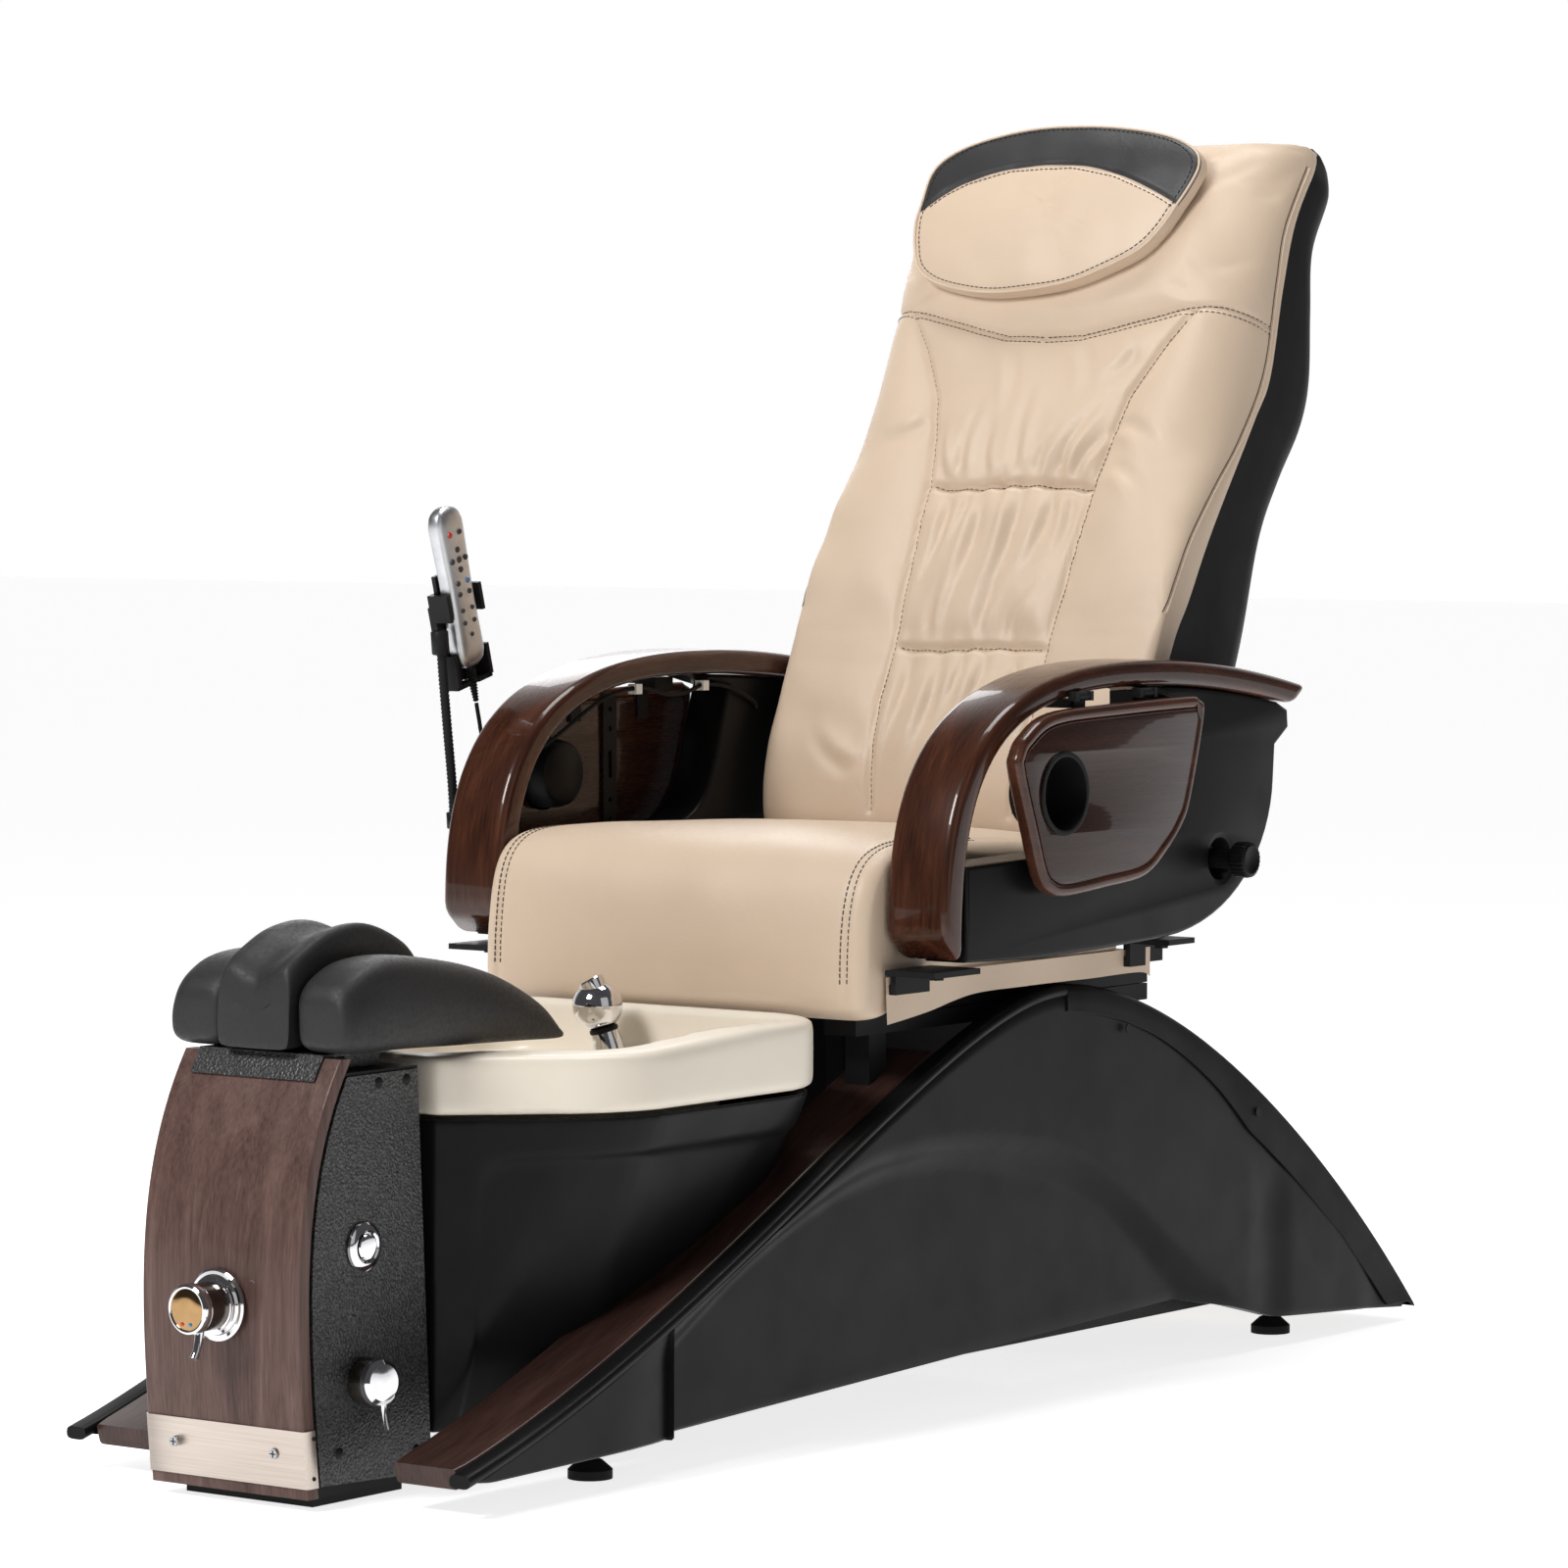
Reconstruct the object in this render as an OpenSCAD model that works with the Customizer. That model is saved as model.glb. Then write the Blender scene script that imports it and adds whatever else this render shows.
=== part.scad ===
// Pedicure spa chair: foot bath on a wooden pedestal, moulded base, sliding
// massage seat with wooden arms, folding side trays and a reclining back.
// Millimetres. +Z up, the sitter faces -Y, the sitter's left is +X.
// The origin is on the floor, under the middle of the chair.

/* [Pedestal] */
// Half width of the front pedestal
ped_hw = 99; // [90:1:105]
// Height of the wooden front panel's top edge
ped_top = 424; // [420:1:424]
// Thickness of the wooden front panel
panel_t = 16; // [12:1:18]
// Height of the mixer knob's axis
mixer_z = 191; // [170:1:230]

/* [Foot bath] */
// Half width of the bath rim at its widest
bath_hw = 240; // [230:1:242]
// Height of the bath floor
bath_floor = 150; // [140:1:180]
// Height of the underside of the cream rim
rim_z = 358; // [350:1:362]
// Radius of the drain hole
drain_r = 22; // [18:1:25]

/* [Moulded base] */
// Half width over the base shells
shell_hw = 256; // [250:1:260]
// Height of the crest of the base
crest_z = 434; // [425:1:436]
// Wall of the moulded shells
wall = 4; // [3:0.5:4]

/* [Seat] */
// Half width of the seat cushion
seat_hw = 250; // [240:1:251]
// Height of the seat cushion at its front crest
seat_top = 596; // [590:1:598]
// Fore and aft travel of the seat
seat_travel = 150; // [100:1:150]

/* [Arms and trays] */
// Inner face of the wooden arms
arm_in = 253; // [252:1:256]
// Outer face of the wooden arms
arm_out = 330; // [326:1:332]
// Thickness of the tray boards
tray_t = 18; // [15:1:18]
// Radius of the cup hole
cup_r = 40; // [36:1:41]
// Depth of the cup insert behind the board
cup_depth = 44; // [30:1:46]

/* [Back] */
// Lean of the back from upright, in degrees
lean = 25; // [23:1:26]
// Length of the back cushion
back_len = 822; // [800:1:824]
// Half width of the back cushion
back_hw = 244; // [235:1:246]

/* [Hidden] */
$fn = 64;
fit = 0.05;        // radial running clearance of shafts and pins
gap = 0.3;         // clearance between neighbouring bodies

// Curves in the side view, as [y, z] control points
ped_curve = [[-848, 12], [-866, 190], [-874, 310], [-798, ped_top]];
rise_curve = [[-800, 44], [-400, 150], [-10, crest_z + 6], [190, crest_z]];
fall_curve = [[190, crest_z], [400, crest_z], [700, 235], [910, 14]];
arm_top_a = [[-136, 506], [-140, 690], [-50, 780], [230, 777]];
arm_top_b = [[230, 777], [340, 777], [450, 762], [548, 741]];
arm_low_a = [[-106, 479], [-108, 668], [-50, 756], [227, 750]];
arm_low_b = [[227, 750], [330, 750], [430, 738], [520, 722]];

// Pivot of the back, and the origin of the back's own frame
pivot = [372, 540];
back_at = [290, 600];
recline_max = 28;
crank = [29, -116];

foot_x = 185;
foot_y = [-531, 706];
mixer_y = -860;
knob_at = [385, 560];
sprayer_at = [-15, -240];
deck_z = 368;
cup_at = [42, 646];
tray_axis = [336, 744];
tray_hinge_y = [95, 215];
board_x = 334;
plate_top = ped_top + 3;
remote_at = [-348, -88, 845];
remote_tilt = 15;

// Route of the remote's lead, held by the far arm along its whole length
lead_r = 2.3;
lead_route = [
    [-348, -56, 725], [-348, -52, 709], [-343, -50, 684], [-326, -49, 667], [-302, -44, 664],
    [-280, -28, 678], [-266, 0, 700], [-262, 40, 722], [-262, 80, 734], [-262, 125, 738],
    [-262, 165, 730], [-262, 200, 730], [-262, 235, 738], [-261, 275, 735], [-261, 315, 722],
    [-266, 336, 712], [-278, 346, 704]
];
lead_steps = 4;

// Remote keys as [y, z, radius] on its face, in the remote's own frame
remote_key_list = concat(
    [for (y = [-8, 8]) [y, 66, 3.5]],
    [for (y = [-8, 8], z = [12, 0]) [y, z, 3.2]],
    [for (y = [-8, 8], z = [-18, -32]) [y, z, 2.8]],
    [[0, -46, 2.8], [0, 48, 3.5], [0, 26, 3.5], [-11, 37, 3.5], [11, 37, 3.5], [0, 37, 4]]
);

function bez(p, t) = pow(1 - t, 3) * p[0] + 3 * t * pow(1 - t, 2) * p[1]
    + 3 * t * t * (1 - t) * p[2] + pow(t, 3) * p[3];
function curve(p, n, a = 0, b = 1) = [for (i = [0:n]) bez(p, a + (b - a) * i / n)];
function shift(pts, d) = [for (p = pts) p + d];
function flip(pts) = [for (i = [len(pts) - 1:-1:0]) pts[i]];
function rim_curve(n) = concat(curve(rise_curve, n), curve(fall_curve, n, 1 / n));

// Catmull-Rom point between p[i] and p[i + 1]
function cat(p, i, t) =
    let (a = p[max(i - 1, 0)], b = p[i], c = p[i + 1], d = p[min(i + 2, len(p) - 1)])
    0.5 * (2 * b + (c - a) * t + (2 * a - 5 * b + 4 * c - d) * t * t
        + (3 * b - a - 3 * c + d) * t * t * t);
function smooth_route(p, k) = concat(
    [for (i = [0:len(p) - 2], j = [0:k - 1]) cat(p, i, j / k)], [p[len(p) - 1]]);
function unit(v) = v / norm(v);
function ring(p, i, r, n) =
    let (t = unit(p[min(i + 1, len(p) - 1)] - p[max(i - 1, 0)]),
         u = unit(cross(t, [0.3, 1, 0.2])), v = cross(t, u))
    [for (k = [0:n - 1]) p[i] + r * (cos(360 * k / n) * u + sin(360 * k / n) * v)];

// Extrudes a [y, z] outline from x0 to x1
module slab(x0, x1, pts) {
    translate([x0, 0, 0]) rotate([90, 0, 90]) linear_extrude(x1 - x0) polygon(pts);
}
module box(a, b) {
    translate(a) cube(b - a);
}
module rod_x(x0, x1, y, z, r) {
    translate([x0, y, z]) rotate([0, 90, 0]) cylinder(h = x1 - x0, r = r);
}
module rod_y(y0, y1, x, z, r) {
    translate([x, y0, z]) rotate([-90, 0, 0]) cylinder(h = y1 - y0, r = r);
}
module mirrored() {
    children();
    mirror([1, 0, 0]) children();
}
// The back's own frame: +Y backwards, +Z up along the back
module back_place() {
    translate([0, back_at[0], back_at[1]]) rotate([-lean, 0, 0]) children();
}
module remote_place() {
    translate(remote_at) rotate([remote_tilt, 0, 0]) children();
}

// ---------------------------------------------------------------- base
module base_frame() {
    color("dimgray") {
        difference() {
            union() {
                mirrored() {
                    box([170, -560, 50], [200, 740, 80]);
                    for (y = [-90, 340]) box([170, y, 80], [200, y + 30, 400]);
                    box([165, -120, 400], [205, 420, 418]);
                }
                for (y = [-90, 340, 710]) box([-170, y, 50], [170, y + 30, 80]);
                box([-170, 340, 372], [170, 370, 396]);
            }
            for (x = [-foot_x, foot_x], y = foot_y)
                translate([x, y, 40]) cylinder(h = 36, r = 5 + fit);
        }
    }
}
module levelling_foot(x, y) {
    color("black") translate([x, y, 0]) {
        cylinder(h = 9, r = 22);
        translate([0, 0, 9]) cylinder(h = 9, r1 = 22, r2 = 12);
        translate([0, 0, 18]) cylinder(h = 8, r = 10, $fn = 6);
        translate([0, 0, 26]) cylinder(h = 48, r = 5);
    }
}
module foot_front_left() { levelling_foot(foot_x, foot_y[0]); }
module foot_front_right() { levelling_foot(-foot_x, foot_y[0]); }
module foot_rear_left() { levelling_foot(foot_x, foot_y[1]); }
module foot_rear_right() { levelling_foot(-foot_x, foot_y[1]); }

module pedestal_carcass() {
    front = shift(curve(ped_curve, 12, 0, 0.96), [panel_t + gap, 0]);
    color("black") difference() {
        union() {
            slab(3 - ped_hw, ped_hw - 3, concat(front, [[-684, 410], [-664, 12]]));
            box([-80, -820, 0], [80, -690, 12]);
        }
        slab(15 - ped_hw, ped_hw - 15, concat(
            shift(curve(ped_curve, 12, 0.05, 0.88), [panel_t + 12, 0]),
            [[-660, 360], [-640, 360], [-640, 30], [-664, 30]]));
        rod_y(-850, -800, 0, mixer_z, 24);
        rod_x(ped_hw - 20, ped_hw, -768, 244, 15);
        rod_x(ped_hw - 20, ped_hw, -769, 116, 8);
    }
}
module pedestal_front() {
    outer = curve(ped_curve, 20);
    color("saddlebrown") difference() {
        slab(-ped_hw, ped_hw, concat(outer, flip(shift(outer, [panel_t, 0]))));
        rod_y(-880, -820, 0, mixer_z, 24);
    }
}
module kick_plate() {
    t = 1.4;
    skin = curve(ped_curve, 6, 0.02, 0.125);
    color("silver") {
        slab(-ped_hw - t - gap, ped_hw + t + gap,
            concat(shift(skin, [-t - gap, 0]), flip(shift(skin, [-gap, 0]))));
        mirrored() slab(ped_hw + gap, ped_hw + gap + t,
            concat(shift(skin, [-gap, 0]), flip(shift(skin, [panel_t, 0]))));
    }
}
module side_panel() {
    front = shift(curve(ped_curve, 12, 0.02, 0.95), [panel_t + 3, 0]);
    difference() {
        slab(ped_hw - 3 + gap, ped_hw, concat(front, [[-687, 407], [-668, 16]]));
        rod_x(ped_hw - 5, ped_hw + 1, -768, 244, 15);
        rod_x(ped_hw - 5, ped_hw + 1, -769, 116, 8);
    }
}
module side_panels() {
    color("black") mirrored() side_panel();
}
// Dome rivets of the side panels, screws of the kick plate and of the base shells
module panel_fasteners() {
    dome_r = 7;
    color("silver") {
        mirrored() for (p = [[-744, 398], [-703, 398], [-803, 51], [-690, 40]])
            intersection() {
                translate([ped_hw + gap - 4.5, p[0], p[1]]) sphere(r = dome_r);
                box([ped_hw + gap, p[0] - 9, p[1] - 9], [ped_hw + 9, p[0] + 9, p[1] + 9]);
            }
        for (x = [-63, 63]) rod_y(-857.4, -854.8, x, 54, 5);
        mirrored() for (z = [32, 70]) rod_x(ped_hw + 2, ped_hw + 3, -842, z, 2);
        mirrored() for (p = [[560, 268], [300, 380]])
            rod_x(shell_hw + 3.2, shell_hw + 4.5, p[0], p[1], 5);
    }
}
module footrest_base_plate() {
    skin = curve(ped_curve, 6, 0.94, 1);
    color("black") {
        slab(-78, 78, concat(shift(skin, [-3, 0]), [[-800, plate_top], [-797, plate_top]],
            flip(shift(skin, [-gap, 0]))));
        box([-78, -797, ped_top + gap], [78, -700, plate_top]);
        box([-70, -760, 411], [70, -710, ped_top + gap]);
    }
}
module bath_plan(grow, z0, z1, z_rear) {
    hull() {
        translate([-100 - grow, -660 - grow / 2, z0]) cube([200 + 2 * grow, 16, z1 - z0]);
        for (s = [-1, 1]) {
            translate([s * 100, -470, z0]) cylinder(h = z1 - z0, r = bath_hw - 100 + grow, $fn = 48);
            translate([s * 140, -273, z0])
                cylinder(h = z_rear - z0, r = bath_hw - 140 + grow, $fn = 48);
        }
    }
}
module tub_hull(grow) {
    hull() {
        translate([-96 - grow, -658 - grow, 352]) cube([192 + 2 * grow, 16, 4]);
        translate([-90 - grow, -656 - grow, 50 - grow]) cube([180 + 2 * grow, 16, 4]);
        for (s = [-1, 1]) {
            translate([s * 100, -470, 352]) cylinder(h = 4, r = bath_hw - 105 + grow, $fn = 48);
            translate([s * 140, -273, 352]) cylinder(h = 4, r = bath_hw - 145 + grow, $fn = 48);
            translate([s * 70, -490, 50 - grow]) cylinder(h = 4, r = 78 + grow, $fn = 48);
            translate([s * 80, -300, 112 - grow]) cylinder(h = 4, r = 68 + grow, $fn = 48);
        }
    }
}
module tub_shell() {
    color("black") difference() {
        tub_hull(0);
        translate([0, 0, 1]) tub_hull(-wall);
        translate([0, -420, 40]) cylinder(h = 40, r = 24);
    }
}
module bowl_space(grow) {
    hull() {
        for (s = [-1, 1]) {
            translate([s * 70, -500, bath_floor - grow]) cylinder(h = 2, r = 60 + grow, $fn = 40);
            translate([s * 70, -350, bath_floor - grow]) cylinder(h = 2, r = 60 + grow, $fn = 40);
            translate([s * 35, -585, 438]) cylinder(h = 2, r = 48 + grow, $fn = 40);
            translate([s * 105, -470, 438]) cylinder(h = 2, r = 98 + grow, $fn = 40);
            translate([s * 130, -345, 438]) cylinder(h = 2, r = 70 + grow, $fn = 40);
        }
    }
}
module basin() {
    color("antiquewhite") difference() {
        union() {
            bath_plan(0, rim_z, 415, 427);
            intersection() {
                bowl_space(6);
                box([-260, -700, 100], [260, 0, rim_z]);
            }
            rod_y(-624, -602, 0, 280, 52);
        }
        bowl_space(0);
        hull() for (x = [-150, 150], y = [-330, -250])
            translate([x, y, deck_z]) cylinder(h = 80, r = 50, $fn = 40);
        rod_y(-660, -590, 0, 280, 30 + 2 * fit);
        rod_y(-601, -560, 0, 280, 44);
        translate([0, -420, 120]) cylinder(h = 60, r = drain_r);
        translate([sprayer_at[0], sprayer_at[1], 340]) cylinder(h = 60, r = 17);
    }
}
module drain_fitting() {
    color("silver") translate([0, -420, 0]) difference() {
        union() {
            translate([0, 0, bath_floor + gap]) cylinder(h = 3, r = 32);
            translate([0, 0, 30]) cylinder(h = bath_floor - 29, r = drain_r - 1);
        }
        translate([0, 0, 29]) cylinder(h = bath_floor - 31, r = drain_r - 3);
        for (a = [0:60:300]) rotate(a) translate([11, 0, 100]) cylinder(h = 100, r = 4);
    }
}
module jet_pump() {
    color("whitesmoke") difference() {
        union() {
            rod_y(-641, -624 - gap, 0, 280, 45);
            rod_y(-625, -601, 0, 280, 30);
            rod_y(-601 + gap, -594, 0, 280, 42);
        }
        for (a = [0:45:315])
            translate([26 * cos(a), -597, 280 + 26 * sin(a)]) rotate([-90, 0, 0])
                cylinder(h = 10, r = 4);
        rod_y(-610, -590, 0, 280, 10);
    }
}
module mixer_escutcheon() {
    color("silver") difference() {
        union() {
            rod_y(mixer_y - 5.5, mixer_y - 2.5, 0, mixer_z, 33);
            rod_y(mixer_y - 8.5, mixer_y - 5, 0, mixer_z, 28);
            rod_y(mixer_y - 11, mixer_y - 8, 0, mixer_z, 24);
        }
        rod_y(mixer_y - 20, mixer_y + 5, 0, mixer_z, 12);
    }
}
module mixer_valve() {
    color("goldenrod") {
        rod_y(mixer_y - 8, -800, 0, mixer_z, 11);
        rod_y(-812, -770, 0, mixer_z, 22);
        rod_x(-60, 60, -786, mixer_z, 9);
    }
}
module mixer_knob() {
    color("dimgray") {
        difference() {
            rod_y(-910, mixer_y - 12, 0, mixer_z, 22.5);
            rod_y(mixer_y - 30, mixer_y - 10, 0, mixer_z, 18);
        }
        translate([0, -894, mixer_z - 48]) cylinder(h = 28, r = 4);
    }
}
module button_bezel() {
    color("silver") difference() {
        union() {
            rod_x(ped_hw + gap, ped_hw + 5, -768, 244, 23);
            rod_x(ped_hw - 14, ped_hw + 1, -768, 244, 14.8);
        }
        rod_x(ped_hw - 10, ped_hw + 8, -768, 244, 13);
    }
}
module air_button() {
    color("silver") {
        rod_x(ped_hw - 4, ped_hw + 7, -768, 244, 13 - 2 * fit);
    }
}
module diverter_knob() {
    color("dimgray") {
        rod_x(ped_hw - 16, ped_hw + 1, -769, 116, 7.9);
        rod_x(ped_hw + gap, ped_hw + 31, -769, 116, 22);
        translate([ped_hw + 22, -769, 70]) cylinder(h = 30, r = 3.5);
    }
}
module wood_planks() {
    top = curve(rise_curve, 24, 0.01, 0.72);
    color("saddlebrown") difference() {
        mirrored() slab(150, shell_hw - 25, concat(shift(top, [0, -4]), flip(shift(top, [0, -22]))));
        tub_hull(1.5);
        mirrored() box([160, -95, 280], [206, -55, 430]);
    }
}
module base_shell() {
    rim = rim_curve(24);
    x_in = shell_hw - 24;
    under = shift(concat(curve(rise_curve, 24, 0.03), curve(fall_curve, 23, 0.04, 0.96)), [0, -11]);
    low = [[882, 15], [800, 22], [612, 34], [520, 56], [430, 72], [-487, 36], [-764, 33]];
    difference() {
        union() {
            slab(x_in, x_in + wall, concat(under, low));
            slab(x_in, shell_hw, concat(rim, flip(shift(rim, [0, -12]))));
            slab(shell_hw - 2 - wall, shell_hw - 2, concat(
                shift(curve(rise_curve, 8, 0.03, 0.32), [0, -8]), [[-487, 36], [-764, 33]]));
            slab(shell_hw - 2 - wall, shell_hw - 2, concat(
                shift(curve(fall_curve, 8, 0.6, 0.9), [0, -8]), [[800, 24], [620, 34]]));
            box([x_in, -491, 38], [shell_hw - 2, -487, 146]);
            box([x_in, 618, 38], [shell_hw - 2, 622, 240]);
        }
        box([x_in - 10, -1000, -20], [shell_hw + 5, 1000, 12]);
    }
}
module base_shell_left() { color("black") base_shell(); }
module base_shell_right() { color("black") mirror([1, 0, 0]) base_shell(); }
module rear_cover() {
    top = curve(fall_curve, 20, 0.42, 0.985);
    edge = curve(fall_curve, 20, 0.12, 0.985);
    color("black") {
        slab(-shell_hw - 3, shell_hw + 3, concat(shift(top, [0, 5]), flip(shift(top, [0, gap]))));
        mirrored() slab(shell_hw + gap, shell_hw + 3,
            concat(shift(edge, [0, 5]), flip(shift(edge, [-14, -26]))));
    }
}
module sprayer_collar() {
    color("silver") translate([sprayer_at[0], sprayer_at[1], 0]) difference() {
        union() {
            translate([0, 0, deck_z + gap]) cylinder(h = 8, r = 22);
            translate([0, 0, 345]) cylinder(h = 25, r = 16.8);
        }
        translate([0, 0, 340]) cylinder(h = 60, r = 13 + fit);
    }
}
module sprayer_head() {
    color("silver") translate([sprayer_at[0], sprayer_at[1], 0]) {
        translate([0, 0, 350]) cylinder(h = 40, r = 13);
        translate([0, 0, 390]) cylinder(h = 24, r = 15);
        translate([0, 0, 430]) sphere(r = 22);
        translate([-14, -6, 446]) rotate([0, -25, 0]) cylinder(h = 14, r = 11);
    }
}
module inlet_fittings() {
    shelf_z = 92;
    color("goldenrod") {
        for (x = [-60, -20]) translate([x, 766, 62]) cylinder(h = shelf_z - 62, r = 10.5);
        translate([40, 768, 58]) cylinder(h = shelf_z - 58, r = 20);
        box([90, 752, 62], [130, 782, shelf_z]);
    }
    color("gray") {
        box([-90, 740, 60], [150, 743, shelf_z + 3]);
        box([-90, 740, shelf_z], [150, 792, shelf_z + 3]);
    }
}

// ------------------------------------------------------------ footrest
module footrest_wing() {
    z0 = plate_top + 2;
    hull() {
        for (x = [66, 92], y = [-790, -770]) translate([x, y, z0 + 18]) sphere(r = 18, $fn = 32);
        for (x = [66, 90]) translate([x, -765, 492]) sphere(r = 19, $fn = 32);
        for (x = [70, 90]) translate([x, -640, 486]) sphere(r = 20, $fn = 32);
        for (x = [74, 92]) translate([x, -640, z0 + 20]) sphere(r = 16, $fn = 32);
        translate([90, -560, 474]) sphere(r = 18, $fn = 32);
        translate([96, -488, 438]) sphere(r = 12, $fn = 32);
    }
}
module footrest_wing_left() { color("dimgray") footrest_wing(); }
module footrest_wing_right() { color("dimgray") mirror([1, 0, 0]) footrest_wing(); }
module footrest_saddle() {
    top = concat([[-808, 447], [-806, 508]], curve([[-806, 508], [-770, 530], [-745, 550],
        [-705, 550]], 8, 0.1), curve([[-705, 550], [-660, 550], [-630, 520], [-610, 470]], 8, 0.1));
    color("dimgray") {
        slab(-44, 44, concat(top, [[-610, 447]]));
        box([-30, -780, plate_top + 1], [30, -640, 447]);
    }
}

// ---------------------------------------------------------------- seat
module seat_frame() {
    color("dimgray") difference() {
        union() {
            mirrored() {
                box([165, -120, 419], [205, 420, 445]);
                difference() {
                    box([228, 338, 445], [234, 406, 562]);
                    rod_x(220, 240, pivot[0], pivot[1], 8);
                }
                rod_x(206, 234, pivot[0], pivot[1], 8);
            }
            box([-234, -136, 445], [234, 406, 455]);
        }
        box([-24, 300, 440], [24, 410, 460]);
    }
}
module seat_cushion() {
    front = curve([[-170, 430], [-172, 570], [-150, seat_top], [-70, seat_top + 1]], 12);
    color("wheat") slab(-seat_hw, seat_hw, concat([[-160, 420]], front,
        [[120, 588], [300, 582], [306, 574], [306, 458], [-139, 458], [-139, 420]]));
}
module seat_skirt() {
    color("wheat") mirrored()
        slab(seat_hw - 1, seat_hw + 2, [[-135, 416], [-60, 424], [20, 438], [330, 438],
            [356, 428], [345, 444.5], [-135, 444.5]]);
}
module arm() {
    top = concat(curve(arm_top_a, 20), curve(arm_top_b, 10, 0.1));
    low = concat(curve(arm_low_a, 20), curve(arm_low_b, 10, 0.1));
    slab(arm_in, arm_out, concat(top, [[546, 720]], flip(low)));
}
module arm_left() { color("saddlebrown") arm(); }
module arm_right() { color("saddlebrown") mirror([1, 0, 0]) arm(); }
arm_shell_pts = concat(
    [[-90, 479], [40, 475], [156, 477], [280, 482]],
    curve([[280, 482], [420, 490], [488, 570], [492, 640]], 10, 0.1),
    [[495, 678], [524, 690], [524, 720]],
    shift(flip(curve(arm_low_b, 8, 0.2, 0.98)), [0, -gap - 0.5]),
    [[290, 735]],
    curve([[275, 690], [255, 610], [235, 590], [181, 586]], 8),
    [[-90, 577]]);
module arm_shell() {
    difference() {
        slab(268, arm_out - 8, arm_shell_pts);
        translate([260, 0, 0]) rotate([90, 0, 90]) linear_extrude(arm_out - 12 - 260)
            offset(delta = -6) polygon(arm_shell_pts);
        rod_x(310, 340, knob_at[0], knob_at[1], 6 + fit);
        rod_x(arm_out - 11, arm_out, knob_at[0], knob_at[1], 24);
    }
    difference() {
        rod_x(290, arm_out - 11, knob_at[0], knob_at[1], 26);
        rod_x(280, 340, knob_at[0], knob_at[1], 6 + fit);
    }
}
module arm_shell_left() { color("black") arm_shell(); }
module arm_shell_right() { color("black") mirror([1, 0, 0]) arm_shell(); }
// Steel brackets that carry the arms, and the fixed hinge blocks of the trays
module arm_brackets() {
    color("black") mirrored() {
        for (p = [[-140, -60, 466], [290, 340, 472]]) {
            box([234 + gap, p[0] + 10, 446], [262, p[1] - 10, 456]);
            box([256, p[0] + 10, 446], [262, p[1] - 10, p[2]]);
            box([256, p[0], p[2]], [318, p[1], p[2] + 6]);
            translate([292, (p[0] + p[1]) / 2, p[2] - 5]) cylinder(h = 6, r = 8, $fn = 6);
        }
        for (y = tray_hinge_y) {
            z = y < 150 ? 741 : 746;
            box([302, y - 16, 732], [330.5, y + 16, z]);
            for (e = [-13, 13]) difference() {
                box([329.5, y + e - 3, 739.2], [tray_axis[0] + 5, y + e + 3, 749]);
                box([320, y + e - 4, z], [330.4, y + e + 4, 760]);
                rod_y(y - 20, y + 20, tray_axis[0], tray_axis[1], 3 + fit);
            }
        }
    }
}
module arm_knob() {
    color("dimgray") {
        rod_x(294, arm_out - 6, knob_at[0], knob_at[1], 6);
        rod_x(arm_out - 10, 345, knob_at[0], knob_at[1], 11);
        rod_x(345, 362, knob_at[0], knob_at[1], 19);
    }
}

// --------------------------------------------------------------- trays
tray_pts = [[28, 729], [280, 738], [298, 735], [308, 720], [282, 631], [264, 601], [238, 578],
    [195, 553], [50, 540], [22, 545], [2, 562], [-40, 672], [-38, 690], [-22, 708]];
module tray() {
    difference() {
        slab(board_x, board_x + tray_t, tray_pts);
        rod_x(board_x - 4, board_x + tray_t + 1, cup_at[0], cup_at[1], cup_r + 1);
    }
}
module tray_left() { color("saddlebrown") tray(); }
module tray_right() { color("saddlebrown") mirror([1, 0, 0]) tray(); }
module cup_insert() {
    x1 = board_x + tray_t;
    difference() {
        union() {
            rod_x(board_x - cup_depth, x1 - 1, cup_at[0], cup_at[1], cup_r + 1 - 2 * fit);
            rod_x(x1 + 2 * fit, x1 + 2, cup_at[0], cup_at[1], cup_r + 3);
            rod_x(x1 - 1.5, x1 + 1, cup_at[0], cup_at[1], cup_r + 0.5);
        }
        rod_x(board_x - cup_depth + 3, x1 + 5, cup_at[0], cup_at[1], cup_r - 2);
    }
}
module cup_insert_left() { color("black") cup_insert(); }
module cup_insert_right() { color("black") mirror([1, 0, 0]) cup_insert(); }
module tray_bracket() {
    difference() {
        box([331, 143, 560], [board_x - gap, 167, 730]);
        for (z = [590, 612, 690, 712]) rod_x(325, 340, 155, z, 3);
        box([325, 152, 636], [340, 158, 666]);
    }
    for (y = tray_hinge_y) {
        box([331, y - 9, 700], [board_x - gap, y + 9, tray_axis[1]]);
        rod_y(y - 9, y + 9, tray_axis[0], tray_axis[1], 5);
        rod_y(y - 17, y + 17, tray_axis[0], tray_axis[1], 3);
    }
}
module tray_bracket_left() { color("dimgray") tray_bracket(); }
module tray_bracket_right() { color("dimgray") mirror([1, 0, 0]) tray_bracket(); }

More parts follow.
